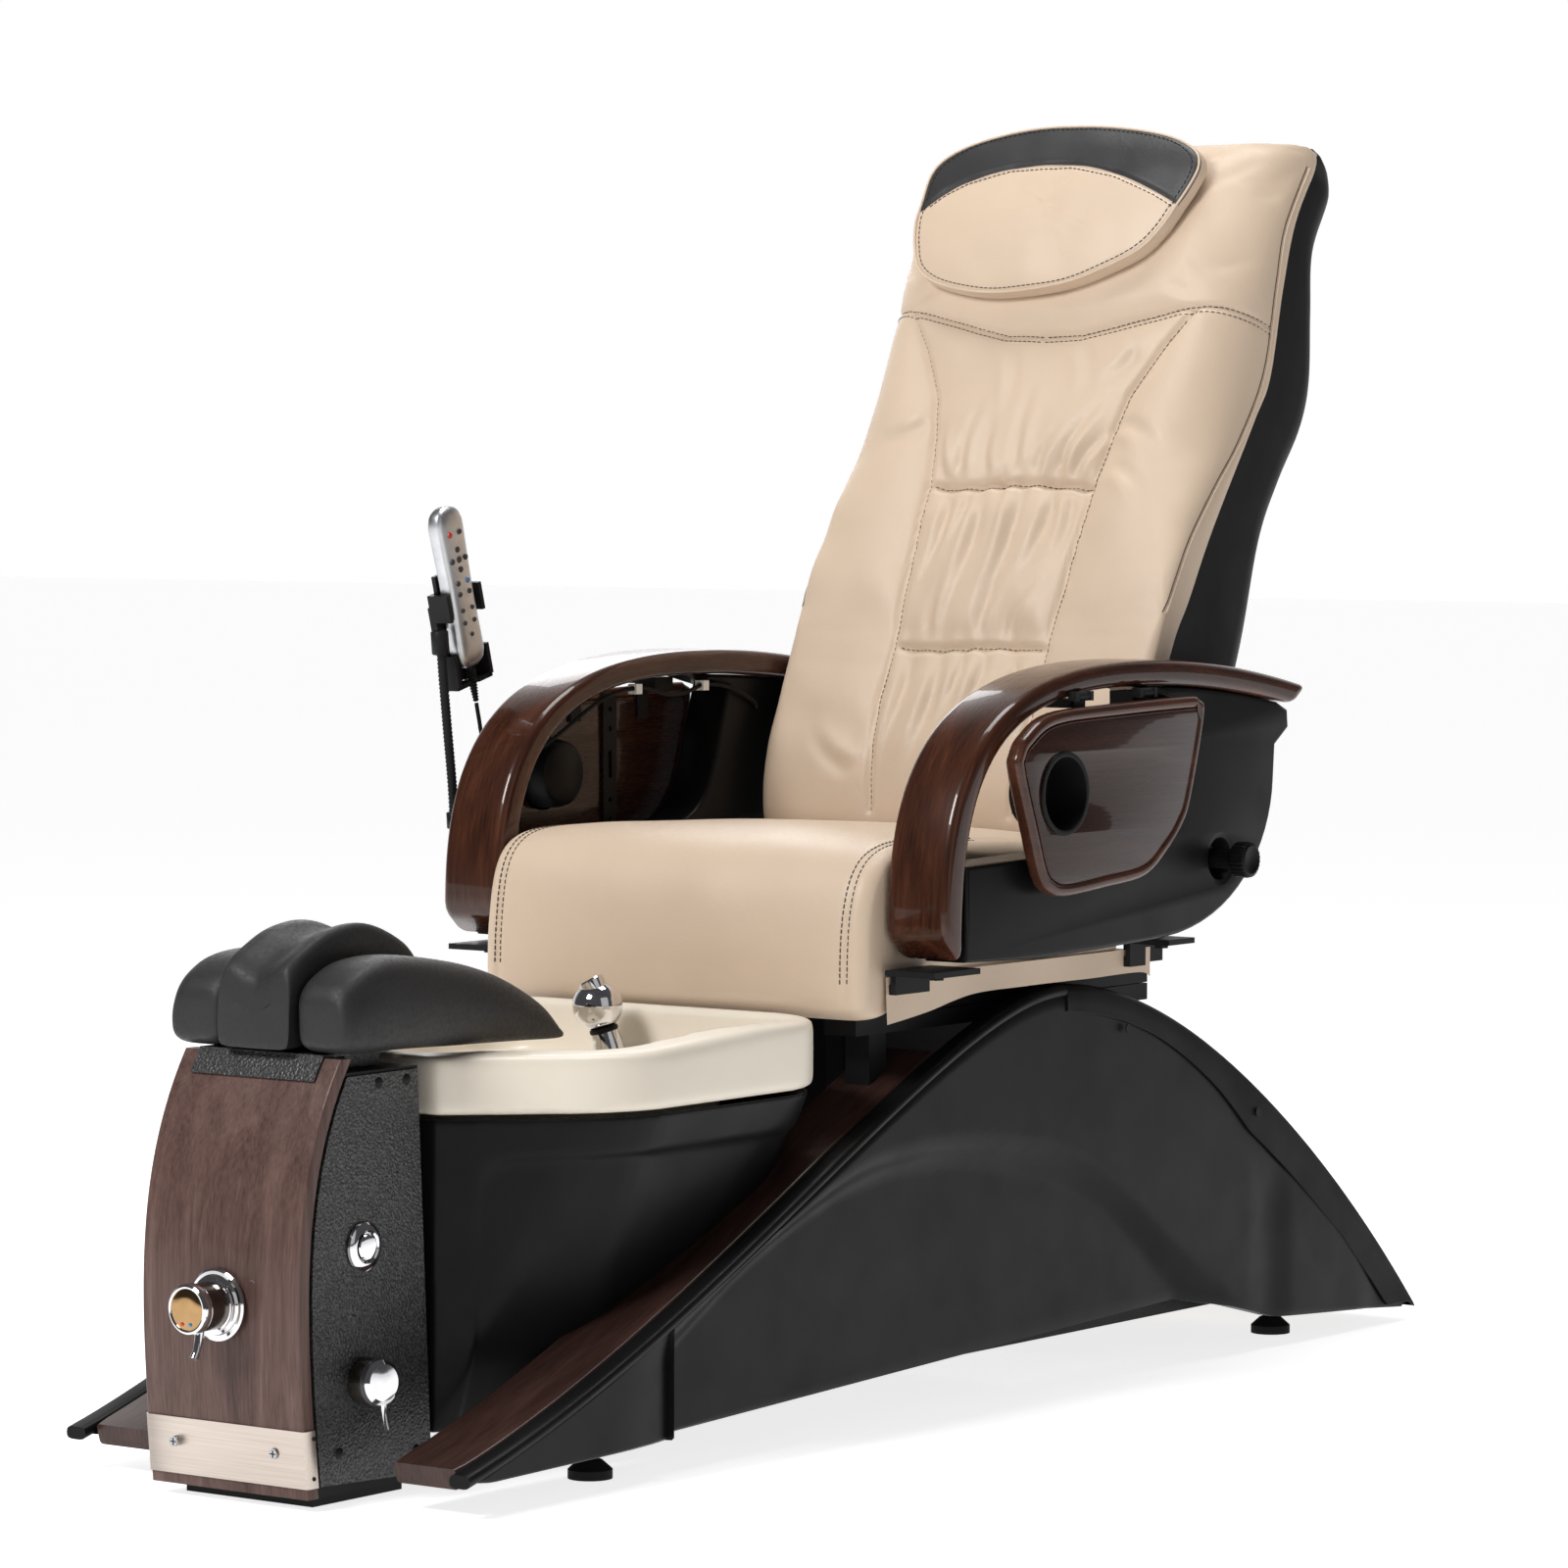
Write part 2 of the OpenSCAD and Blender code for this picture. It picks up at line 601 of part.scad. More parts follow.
// -------------------------------------------------------------- remote
module remote_mast() {
    color("black") {
        box([-352, -116, 588], [-arm_out - gap, -88, 612]);
        hull() {
            translate([-345, -102, 600]) sphere(r = 7, $fn = 24);
            translate([-350, -112, 786]) sphere(r = 7, $fn = 24);
        }
        box([-362, -124, 776], [-338, -106, 806]);
    }
}
module remote_cradle() {
    color("black") {
        remote_place() {
            box([-17, -18, -92], [-12, 18, 22]);
            for (s = [-1, 1]) {
                box([-17, s * 27.5 - 2.5, -98], [6, s * 27.5 + 2.5, -64]);
                box([-17, s * 27.5 - 2.5, -26], [10, s * 27.5 + 2.5, 4]);
            }
            box([-17, -25, -26], [-12, 25, 4]);
            box([-17, -25, -98], [-12, 25, -64]);
            box([-17, -30, -102], [4, -6, -97]);
            box([-17, 6, -102], [4, 30, -97]);
            box([-21, -28, -36], [-12, -14, -10]);
        }
    }
}
module remote_body() {
    color("silver") remote_place() difference() {
        union() {
            box([-11, -24, -84], [11, 24, 84]);
            rod_x(-11, 11, 0, 72, 24);
            rod_x(-11, 11, 0, -72, 24);
            translate([0, 0, -124]) cylinder(h = 30, r1 = 3.2, r2 = 5);
        }
        for (k = remote_key_list) rod_x(8, 12, k[0], k[1], k[2] + 0.2);
        box([-20, -30, 84], [20, -24 * 0.75, 110]);
        box([-20, 24 * 0.75, 84], [20, 30, 110]);
        box([-20, -30, -110], [20, -24 * 0.75, -84]);
        box([-20, 24 * 0.75, -110], [20, 30, -84]);
    }
}
module remote_keys() {
    color("black") remote_place()
        for (k = remote_key_list) rod_x(9.2, 12.6, k[0], k[1], k[2]);
}
module remote_cable() {
    path = smooth_route(lead_route, lead_steps);
    sides = 8;
    count = len(path);
    pts = [for (i = [0:count - 1]) each ring(path, i, lead_r, sides)];
    walls = [for (i = [0:count - 2], k = [0:sides - 1])
        let (a = i * sides + k, b = i * sides + (k + 1) % sides)
        each [[b, a, a + sides], [b, a + sides, b + sides]]];
    color("black") polyhedron(pts, concat(
        [[for (k = [0:sides - 1]) k]], walls,
        [[for (k = [sides - 1:-1:0]) (count - 1) * sides + k]]));
}
module cable_clips() {
    color("white") for (p = [[112, 737.5], [232, 738]]) difference() {
        box([-268, p[0] - 5, p[1] - 6], [-256, p[0] + 5, p[1] + 5]);
        rod_y(p[0] - 8, p[0] + 8, -262, p[1], 3.4);
        box([-264, p[0] - 8, p[1] - 8], [-260, p[0] + 8, p[1]]);
    }
}

// ---------------------------------------------------------------- back
shell_rear = [[150, 4], [182, 90], [186, 262], [170, 397], [178, 473], [194, 545], [190, 600],
    [160, 671], [134, 735], [139, 800], [134, 832], [112, 842]];
module back_frame() {
    color("dimgray") {
        back_place() {
            mirrored() {
                translate([190, 95, -30]) cylinder(h = 810, r = 11);
                translate([70, 120, 70]) cylinder(h = 630, r = 6);
            }
            for (z = [70, 700]) box([-190, 102, z - 10], [190, 130, z + 10]);
        }
        mirrored() difference() {
            hull() {
                rod_x(214, 220, pivot[0], pivot[1], 20);
                rod_x(214, 220, 385, 600, 14);
            }
            rod_x(210, 225, pivot[0], pivot[1], 8 + fit);
        }
        mirrored() rod_x(180, 216, 378, 586, 9);
        rod_x(-205, 205, pivot[0], pivot[1], 10);
        hull() {
            rod_x(-6, 6, pivot[0], pivot[1], 14);
            rod_x(-6, 6, pivot[0] + crank[0], pivot[1] + crank[1], 8);
        }
        rod_x(-20, 20, pivot[0] + crank[0], pivot[1] + crank[1], 5);
    }
}
module back_shell() {
    inner = [for (p = shell_rear) [p[0] - wall, p[1] * 0.985 + 4]];
    color("black") back_place() difference() {
        slab(-226, 226, concat(shell_rear, [[72, 815], [72, 30], [90, 4]]));
        slab(-222, 222, concat([[144, -4]], inner, [[60, 808], [60, -4]]));
    }
}
module back_cushion() {
    front = curve([[24, 0], [-6, 40], [0, 90], [0, 200]], 8);
    color("wheat") back_place() slab(-back_hw, back_hw, concat(
        front, [[0, back_len - 20], [14, back_len - 2], [60, back_len + 2], [70, back_len - 8],
        [70, 10], [60, 0]]));
}
module head_pillow() {
    color("wheat") back_place() {
        hull() mirrored() for (p = [[142, 752, 56], [128, 666, 68]])
            translate([p[0], -1, p[1]]) rotate([90, 0, 0]) cylinder(h = 44, r = p[2], $fn = 32);
    }
}
carriage_s = 380;
module massage_carriage() {
    color("gray") back_place() difference() {
        union() {
            mirrored() box([58, 86, carriage_s - 50], [82, 134, carriage_s + 50]);
            box([-82, 128, carriage_s - 40], [82, 140, carriage_s + 40]);
            box([-28, 86, carriage_s - 30], [28, 130, carriage_s + 30]);
        }
        mirrored() translate([70, 120, carriage_s - 60]) cylinder(h = 120, r = 6 + fit);
        rod_x(-90, 90, 99, carriage_s, 5 + fit);
    }
}
module massage_rollers() {
    color("ivory") back_place() {
        rod_x(-114, 114, 99, carriage_s, 5);
        mirrored() for (x = [33, 90]) rod_x(x, x + 20, 99, carriage_s, 26);
    }
}
act_z = pivot[1] + crank[1];
module recline_actuator() {
    color("gray") difference() {
        union() {
            rod_y(60, 300, 0, act_z, 18);
            box([-30, 60, act_z - 18], [30, 120, act_z + 19]);
            box([-20, 200, act_z], [20, 230, act_z + 20.5]);
        }
        rod_y(110, 310, 0, act_z, 9 + fit);
    }
}
module actuator_rod() {
    y = pivot[0] + crank[0];
    color("silver") {
        rod_y(190, y - 24, 0, act_z, 9);
        difference() {
            box([-16, y - 26, act_z - 16], [16, y + 14, act_z + 12]);
            box([-7.5, y - 18, act_z - 20], [7.5, y + 20, act_z + 20]);
            box([-20, y - 6.5, act_z - 10.5], [20, y + 6.5, act_z + 6.5]);
        }
    }
}

base_frame();
pedestal_carcass();
pedestal_front();
kick_plate();
side_panels();
panel_fasteners();
footrest_base_plate();
tub_shell();
basin();
drain_fitting();
jet_pump();
mixer_escutcheon();
mixer_valve();
button_bezel();
wood_planks();
base_shell_left();
base_shell_right();
rear_cover();
sprayer_collar();
inlet_fittings();
mixer_knob();
diverter_knob();
air_button();
sprayer_head();
foot_front_left();
foot_front_right();
foot_rear_left();
foot_rear_right();
footrest_wing_left();
footrest_wing_right();
footrest_saddle();
seat_frame();
seat_cushion();
seat_skirt();
arm_left();
arm_right();
arm_shell_left();
arm_shell_right();
arm_brackets();
arm_knob();
tray_left();
tray_right();
cup_insert_left();
cup_insert_right();
tray_bracket_left();
tray_bracket_right();
remote_mast();
remote_cradle();
remote_body();
remote_keys();
remote_cable();
cable_clips();
back_frame();
back_shell();
back_cushion();
head_pillow();
massage_carriage();
massage_rollers();
recline_actuator();
actuator_rod();
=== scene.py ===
import math

import bmesh
import bpy
import numpy as np
from mathutils import Matrix, Vector, noise
from mathutils.bvhtree import BVHTree


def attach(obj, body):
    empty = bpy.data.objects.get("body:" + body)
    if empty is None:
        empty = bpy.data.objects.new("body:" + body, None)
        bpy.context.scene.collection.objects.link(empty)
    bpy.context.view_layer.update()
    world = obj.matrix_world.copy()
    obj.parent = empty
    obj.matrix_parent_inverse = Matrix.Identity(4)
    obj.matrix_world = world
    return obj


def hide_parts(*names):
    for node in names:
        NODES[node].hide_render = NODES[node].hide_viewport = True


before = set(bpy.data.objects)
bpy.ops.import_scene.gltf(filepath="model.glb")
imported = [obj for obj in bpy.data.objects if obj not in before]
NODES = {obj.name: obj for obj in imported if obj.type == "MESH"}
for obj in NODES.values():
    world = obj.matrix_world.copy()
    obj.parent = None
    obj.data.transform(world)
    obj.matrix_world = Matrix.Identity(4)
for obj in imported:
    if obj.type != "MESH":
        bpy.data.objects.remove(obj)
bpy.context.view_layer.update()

MM = 0.001
LEAN = math.radians(25)
BACK_Y, BACK_Z = 290, 600
LEAN_COS, LEAN_SIN = math.cos(LEAN), math.sin(LEAN)
REMOTE_TILT = math.radians(15)
REMOTE_AT = (-348, -88, 845)
BEFORE_BACK = -40  # n from which rays meet the back cushion
BEFORE_PILLOW = -90  # n from which rays meet the head pillow
MADE = {}  # body, slot and replaced nodes of each piece, for its mirrored twin


# ------------------------------------------------------------------ camera, light, floor
def linked(name, data):
    ob = bpy.data.objects.new(name, data)
    bpy.context.scene.collection.objects.link(ob)
    return ob


def camera():
    data = bpy.data.cameras.new("camera")
    data.lens = 141.7
    data.sensor_width = 36
    data.clip_end = 60
    cam = linked("camera", data)
    cam.location = (3.895, -5.193, 0.998)
    cam.rotation_euler = (math.radians(86.9), 0, math.radians(36.7))
    bpy.context.scene.camera = cam


def area_light(name, place, aim, size, power):
    data = bpy.data.lights.new(name, "AREA")
    data.shape = "RECTANGLE"
    data.size, data.size_y = size
    data.energy = power
    ob = linked(name, data)
    ob.location = place
    ob.rotation_euler = (Vector(aim) - Vector(place)).to_track_quat("-Z", "Y").to_euler()


def studio():
    world = bpy.data.worlds.new("studio")
    world.use_nodes = True
    tree = world.node_tree
    coord = tree.nodes.new("ShaderNodeTexCoord")
    facing = tree.nodes.new("ShaderNodeVectorMath")
    facing.operation = "DOT_PRODUCT"
    facing.inputs[1].default_value = (-0.598, 0.80, 0.0)
    shade = tree.nodes.new("ShaderNodeValToRGB")
    dark, bright = shade.color_ramp.elements
    dark.position, dark.color = 0.5, (0.07, 0.07, 0.072, 1)
    bright.position, bright.color = 0.88, (1, 1, 1, 1)
    tree.links.new(coord.outputs["Generated"], facing.inputs[0])
    tree.links.new(facing.outputs["Value"], shade.inputs["Fac"])
    tree.links.new(shade.outputs["Color"], tree.nodes["Background"].inputs["Color"])
    tree.nodes["Background"].inputs["Strength"].default_value = 1.0
    bpy.context.scene.world = world
    area_light("key", (-0.6, -3.6, 3.4), (0, 0, 0.6), (1.3, 1.3), 150)
    area_light("fill", (3.6, -1.2, 1.8), (0, 0, 0.6), (2.4, 2.8), 9)
    area_light("top", (0, 0.6, 3.6), (0, 0.2, 0.5), (1.8, 1.2), 56)
    area_light("rear", (-2.6, 2.8, 2.4), (0, 0.3, 0.7), (1.4, 1.8), 26)
    mesh = bpy.data.meshes.new("floor")
    r = 30
    mesh.from_pydata([(-r, -r, 0), (r, -r, 0), (r, r, 0), (-r, r, 0)], [], [(0, 1, 2, 3)])
    floor = linked("floor", mesh)
    paint = Paint("floor_paint", (0.72, 0.72, 0.72), 0.8)
    paint.set("Emission Color", (1, 1, 1, 1))
    paint.set("Emission Strength", 0.8)
    mesh.materials.append(paint.mat)
    bpy.context.scene.view_settings.view_transform = "Standard"


# ------------------------------------------------------------------ materials
class Paint:
    """A Principled material and short calls that add procedural detail to it."""

    def __init__(self, name, color, rough, metal=0.0, coat=0.0, coat_rough=0.05, specular=0.5):
        self.mat = bpy.data.materials.new(name)
        self.mat.use_nodes = True
        self.tree = self.mat.node_tree
        self.bsdf = self.tree.nodes["Principled BSDF"]
        self.set("Base Color", (*color, 1))
        self.set("Roughness", rough)
        self.set("Metallic", metal)
        self.set("Coat Weight", coat)
        self.set("Coat Roughness", coat_rough)
        self.set("Specular IOR Level", specular)
        self.coord = self.tree.nodes.new("ShaderNodeTexCoord").outputs["Object"]

    def set(self, socket, value):
        self.bsdf.inputs[socket].default_value = value

    def link(self, a, b):
        self.tree.links.new(a, b)

    def node(self, kind, **props):
        made = self.tree.nodes.new(kind)
        for key, value in props.items():
            setattr(made, key, value)
        return made

    def attribute(self, name):
        return self.node("ShaderNodeAttribute", attribute_name=name).outputs["Vector"]

    def scaled(self, scale, vector=None):
        made = self.node("ShaderNodeMapping")
        self.link(vector or self.coord, made.inputs["Vector"])
        made.inputs["Scale"].default_value = scale
        return made.outputs["Vector"]

    def noise(self, scale, vector=None, detail=3.0, rough=0.5, distortion=0.0):
        made = self.node("ShaderNodeTexNoise")
        self.link(vector or self.coord, made.inputs["Vector"])
        made.inputs["Scale"].default_value = scale
        made.inputs["Detail"].default_value = detail
        made.inputs["Roughness"].default_value = rough
        made.inputs["Distortion"].default_value = distortion
        return made.outputs["Fac"]

    def cells(self, scale, feature="F1"):
        made = self.node("ShaderNodeTexVoronoi", feature=feature)
        self.link(self.coord, made.inputs["Vector"])
        made.inputs["Scale"].default_value = scale
        return made.outputs["Distance"]

    def ramp(self, fac, stops):
        made = self.node("ShaderNodeValToRGB")
        self.link(fac, made.inputs["Fac"])
        points = made.color_ramp.elements
        while len(points) < len(stops):
            points.new(0.5)
        for point, (at, color) in zip(points, stops):
            point.position = at
            point.color = (*color, 1)
        return made.outputs["Color"]

    def grey(self, fac, stops):
        return self.ramp(fac, [(at, (v, v, v)) for at, v in stops])

    def mixed(self, fac, a, b):
        made = self.node("ShaderNodeMix", data_type="RGBA")
        for socket, value in ((made.inputs[0], fac), (made.inputs[6], a), (made.inputs[7], b)):
            if isinstance(value, bpy.types.NodeSocket):
                self.link(value, socket)
            else:
                socket.default_value = value
        return made.outputs[2]

    def color(self, socket):
        self.link(socket, self.bsdf.inputs["Base Color"])

    def rough(self, socket):
        self.link(socket, self.bsdf.inputs["Roughness"])

    def bump(self, height, strength, distance, under=None):
        made = self.node("ShaderNodeBump")
        made.inputs["Strength"].default_value = strength
        made.inputs["Distance"].default_value = distance
        self.link(height, made.inputs["Height"])
        if under is not None:
            self.link(under, made.inputs["Normal"])
        self.link(made.outputs["Normal"], self.bsdf.inputs["Normal"])
        return made.outputs["Normal"]


def leather(name, light, dark, rough=0.42, grain=620, wrinkle=0.25):
    p = Paint(name, light, rough, specular=0.45)
    patches = p.noise(5, detail=4)
    p.color(p.ramp(patches, [(0.3, dark), (0.7, light)]))
    p.rough(p.grey(p.noise(260, detail=2), [(0.35, rough - 0.05), (0.7, rough + 0.12)]))
    pores = p.cells(grain, "DISTANCE_TO_EDGE")
    creases = p.noise(34, p.scaled((1, 1, 0.6)), detail=5, rough=0.55, distortion=0.6)
    first = p.bump(creases, wrinkle, 0.0022)
    p.bump(p.grey(pores, [(0.0, 0.0), (0.25, 1.0)]), 0.22, 0.00035, first)
    return p.mat


def wood(name, dark, mid, light, along, across, gloss=0.22, coat=0.5, attribute=None):
    """Grain that runs along one axis. along and across scale the coordinates."""
    p = Paint(name, mid, gloss, coat=coat, coat_rough=0.04, specular=0.15)
    base = p.attribute(attribute) if attribute else p.coord
    stretched = p.scaled(along, base)
    figure = p.noise(1.0, stretched, detail=5, rough=0.6, distortion=1.4)
    fibre = p.noise(1.0, p.scaled(across, base), detail=4, rough=0.65)
    body = p.ramp(figure, [(0.28, dark), (0.5, mid), (0.74, light)])
    p.color(p.mixed(0.42, body, p.ramp(fibre, [(0.3, dark), (0.72, light)])))
    p.rough(p.grey(fibre, [(0.3, gloss + 0.1), (0.7, gloss)]))
    p.bump(fibre, 0.06, 0.0002)
    return p.mat


def moulded(name, color, rough, grain=900, depth=0.00012, spread=0.06):
    """Moulded plastic with a fine spark-eroded texture."""
    p = Paint(name, color, rough, specular=0.13)
    lighter = tuple(c * 1.35 + 0.002 for c in color)
    p.color(p.ramp(p.noise(3.5, detail=5), [(0.3, color), (0.75, lighter)]))
    p.rough(p.grey(p.noise(18, detail=4), [(0.3, rough - spread), (0.7, rough + spread)]))
    p.bump(p.noise(grain, detail=2), 0.35, depth)
    return p.mat


def metal(name, color, rough, brushed=None, spread=0.04):
    p = Paint(name, color, rough, metal=1.0)
    lines = p.noise(1.0, p.scaled(brushed), detail=4) if brushed else p.noise(60, detail=3)
    darker = tuple(c * 0.82 for c in color)
    p.color(p.ramp(lines, [(0.3, darker), (0.7, color)]))
    p.rough(p.grey(lines, [(0.3, rough), (0.7, rough + spread)]))
    if brushed:
        p.bump(lines, 0.08, 0.00008)
    return p.mat


def pebbled(name):
    p = Paint(name, (0.012, 0.012, 0.013), 0.42, specular=0.6)
    cells = p.cells(330)
    fleck = p.noise(420, detail=3)
    p.color(p.ramp(fleck, [(0.42, (0.006, 0.006, 0.007)), (0.66, (0.05, 0.05, 0.052))]))
    p.rough(p.grey(fleck, [(0.3, 0.5), (0.7, 0.3)]))
    first = p.bump(cells, 0.8, 0.0007)
    p.bump(fleck, 0.5, 0.0004, first)
    return p.mat


def speckled(name):
    """Cast acrylic: cream with the faintest cloud in it."""
    p = Paint(name, (0.80, 0.73, 0.62), 0.42, coat=0.2, coat_rough=0.15)
    p.color(p.ramp(p.noise(6, detail=5), [(0.3, (0.78, 0.70, 0.585)), (0.7, (0.83, 0.76, 0.645))]))
    p.bump(p.noise(40, detail=2), 0.05, 0.0006)
    return p.mat


def coloured_button(name, color):
    p = Paint(name, color, 0.35, coat=0.3)
    p.color(p.ramp(p.noise(200), [(0.3, color), (0.7, tuple(c * 0.7 for c in color))]))
    p.bump(p.noise(900), 0.2, 0.0001)
    return p.mat


def materials():
    m = {}
    m["beige"] = leather("beige_leather", (0.64, 0.50, 0.375), (0.60, 0.465, 0.345))
    m["padding"] = leather("moulded_padding", (0.017, 0.016, 0.0165), (0.011, 0.0105, 0.011),
                           0.5, grain=900, wrinkle=0.05)
    m["arm_wood"] = wood("walnut_bent", (0.010, 0.003, 0.0018), (0.036, 0.011, 0.0055),
                         (0.115, 0.038, 0.018), (4, 26, 26), (14, 420, 420), attribute="grain")
    m["tray_wood"] = wood("walnut_flat", (0.012, 0.004, 0.003), (0.024, 0.008, 0.005),
                          (0.050, 0.018, 0.011), (20, 5, 30), (300, 12, 420))
    m["tray_edge"] = wood("walnut_edge", (0.022, 0.007, 0.004), (0.055, 0.018, 0.010),
                          (0.11, 0.040, 0.022), (20, 5, 30), (300, 12, 420))
    m["plank"] = wood("walnut_plank", (0.016, 0.007, 0.006), (0.040, 0.019, 0.015),
                      (0.085, 0.043, 0.034), (22, 2.4, 8), (420, 9, 60), 0.34, 0.25)
    m["laminate"] = wood("walnut_laminate", (0.036, 0.018, 0.015), (0.094, 0.051, 0.043),
                         (0.175, 0.108, 0.092), (30, 30, 2.6), (420, 420, 9), 0.36, 0.15)
    m["abs"] = moulded("black_abs", (0.0045, 0.0042, 0.0043), 0.36)
    m["shell"] = moulded("black_shell", (0.0050, 0.0046, 0.0046), 0.36, grain=1200)
    m["back_abs"] = moulded("back_abs", (0.0065, 0.0053, 0.0052), 0.5, grain=1200)
    m["soft_black"] = moulded("satin_black", (0.005, 0.005, 0.0053), 0.42)
    m["powder"] = moulded("powder_coat", (0.010, 0.010, 0.011), 0.46, grain=600, depth=0.0002)
    m["rubber"] = moulded("rubber", (0.012, 0.012, 0.012), 0.7, grain=300, depth=0.0003)
    m["vinyl"] = pebbled("pebbled_vinyl")
    m["cream"] = speckled("cream_acrylic")
    m["white"] = moulded("white_plastic", (0.75, 0.75, 0.73), 0.4)
    m["grey"] = moulded("grey_housing", (0.10, 0.10, 0.11), 0.45)
    m["chrome"] = metal("chrome", (0.82, 0.82, 0.84), 0.05)
    m["dark_chrome"] = metal("dark_chrome", (0.20, 0.17, 0.15), 0.16)
    m["bronze"] = metal("bronze_cap", (0.42, 0.26, 0.12), 0.07)
    m["brass"] = metal("brass", (0.70, 0.48, 0.20), 0.25)
    m["steel"] = metal("kick_steel", (0.60, 0.52, 0.46), 0.30, brushed=(9, 600, 600))
    m["plain_steel"] = metal("plain_steel", (0.50, 0.50, 0.51), 0.32)
    m["silver"] = metal("silver_paint", (0.62, 0.63, 0.65), 0.34)
    m["tan_thread"] = leather("tan_thread", (0.22, 0.15, 0.10), (0.16, 0.11, 0.07), 0.6)
    m["thread"] = leather("dark_thread", (0.035, 0.022, 0.018), (0.02, 0.012, 0.010), 0.7)
    m["red_key"] = coloured_button("red_key", (0.55, 0.03, 0.02))
    m["blue_key"] = coloured_button("blue_key", (0.05, 0.22, 0.50))
    m["dark_key"] = coloured_button("dark_key", (0.012, 0.012, 0.014))
    return m


# ------------------------------------------------------------------ mesh helpers
def point(x, y, z):
    return Vector((x * MM, y * MM, z * MM))


def back_point(x, n, s):
    return point(x, BACK_Y + n * LEAN_COS + s * LEAN_SIN, BACK_Z - n * LEAN_SIN + s * LEAN_COS)


def remote_point(x, y, z):
    c, d = math.cos(REMOTE_TILT), math.sin(REMOTE_TILT)
    px, py, pz = REMOTE_AT
    return point(px + x, py + y * c - z * d, pz + y * d + z * c)


def clean(mesh, weld=0.0):
    """Turns the faces outwards, and first welds points nearer than weld."""
    bm = bmesh.new()
    bm.from_mesh(mesh)
    if weld:
        bmesh.ops.remove_doubles(bm, verts=bm.verts, dist=weld)
    bmesh.ops.recalc_face_normals(bm, faces=bm.faces)
    bm.to_mesh(mesh)
    bm.free()


def tell(ob, body, slot, replaces, ride=True):
    """Says what carries a piece, its material slot and the CAD nodes it stands for."""
    MADE[ob.name] = body, slot, replaces
    if ride:
        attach(ob, body)
    if replaces:
        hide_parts(*replaces)


def add(name, verts, faces, mat, body, sharp=45, slot=None, replaces=(), ride=True):
    """A new mesh piece; verts are in metres. One that rides later is shaped first."""
    mesh = bpy.data.meshes.new(name)
    mesh.from_pydata([tuple(v) for v in verts], [], faces)
    mesh.update()
    clean(mesh)
    return finish_piece(name, mesh, mat, body, sharp, slot, replaces, ride)


def finish_piece(name, mesh, mat, body, sharp=45, slot=None, replaces=(), ride=True):
    mesh.shade_smooth()
    if sharp:
        mesh.set_sharp_from_angle(angle=math.radians(sharp))
    mesh.materials.append(mat)
    ob = linked(name, mesh)
    tell(ob, body, slot, replaces, ride)
    return ob


def mirror(ob):
    """The twin of a left piece. It replaces only CAD nodes that have a right twin too."""
    body, slot, replaces = MADE[ob.name]
    mesh = ob.data.copy()
    mesh.transform(Matrix.Scale(-1, 4, (1, 0, 0)))
    mesh.flip_normals()
    mesh.name = ob.name.replace("left", "right")
    other = linked(mesh.name, mesh)
    twins = [node.replace("left", "right") for node in replaces if "left" in node]
    tell(other, body.replace("left", "right"), slot, twins)
    return other


def whole(half):
    """A closed ring from its half on +X, which starts and ends on the middle line."""
    return half + [(-x, other) for x, other in half[-2:0:-1]]


def turns(count):
    return [2 * math.pi * k / count for k in range(count)]


def rounded(x0, x1, d0, d1, r, count):
    """Points round a box with rounded corners, count of them at each corner."""
    out = []
    for cx, cd, start in ((x1 - r, d1 - r, 0), (x0 + r, d1 - r, 90), (x0 + r, d0 + r, 180),
                          (x1 - r, d0 + r, 270)):
        for k in range(count):
            a = math.radians(start + 90 * k / (count - 1))
            out.append((cx + r * math.cos(a), cd + r * math.sin(a)))
    return out


def power(v, exponent):
    """A sine or cosine made fuller or leaner, with its sign kept."""
    return math.copysign(abs(v) ** exponent, v)


def fade(v, width):
    """1 well below zero and 0 well above it."""
    return 1 / (1 + np.exp(v / width))


def hump(v, width):
    return np.exp(-(v / width) ** 2)


def lumps(*axes):
    return np.array([noise.noise(Vector(p)) for p in zip(*axes)])


def loft(rings):
    """Faces that join equal rings of points, with a cap at each end."""
    count = len(rings[0])
    verts = [p for ring in rings for p in ring]
    faces = []
    for i in range(len(rings) - 1):
        a, b = i * count, (i + 1) * count
        for k in range(count):
            j = (k + 1) % count
            faces.append((a + k, a + j, b + j, b + k))
    faces.append(tuple(range(count - 1, -1, -1)))
    faces.append(tuple((len(rings) - 1) * count + k for k in range(count)))
    return verts, faces


def bez(p, t):
    p = [np.array(q, float) for q in p]
    u = 1 - t
    return u ** 3 * p[0] + 3 * t * u * u * p[1] + 3 * t * t * u * p[2] + t ** 3 * p[3]


def bez_line(p, n, a=0.0, b=1.0):
    return [bez(p, a + (b - a) * i / n) for i in range(n + 1)]


def spline(points, per=6, closed=False):
    """Catmull-Rom line through the points."""
    p = [np.array(q, float) for q in points]
    n = len(p)
    out = []
    for i in range(n if closed else n - 1):
        if closed:
            a, b, c, d = p[i - 1], p[i], p[(i + 1) % n], p[(i + 2) % n]
        else:
            a, b, c, d = p[max(i - 1, 0)], p[i], p[i + 1], p[min(i + 2, n - 1)]
        for j in range(per):
            t = j / per
            out.append(0.5 * (2 * b + (c - a) * t + (2 * a - 5 * b + 4 * c - d) * t * t
                              + (3 * b - a - 3 * c + d) * t ** 3))
    if not closed:
        out.append(p[-1])
    return out


def along(points):
    """A smooth function y(x) through the points, level outside them."""
    line = np.array(spline(points, 12))
    order = np.argsort(line[:, 0])
    return lambda x: np.interp(x, line[order, 0], line[order, 1])


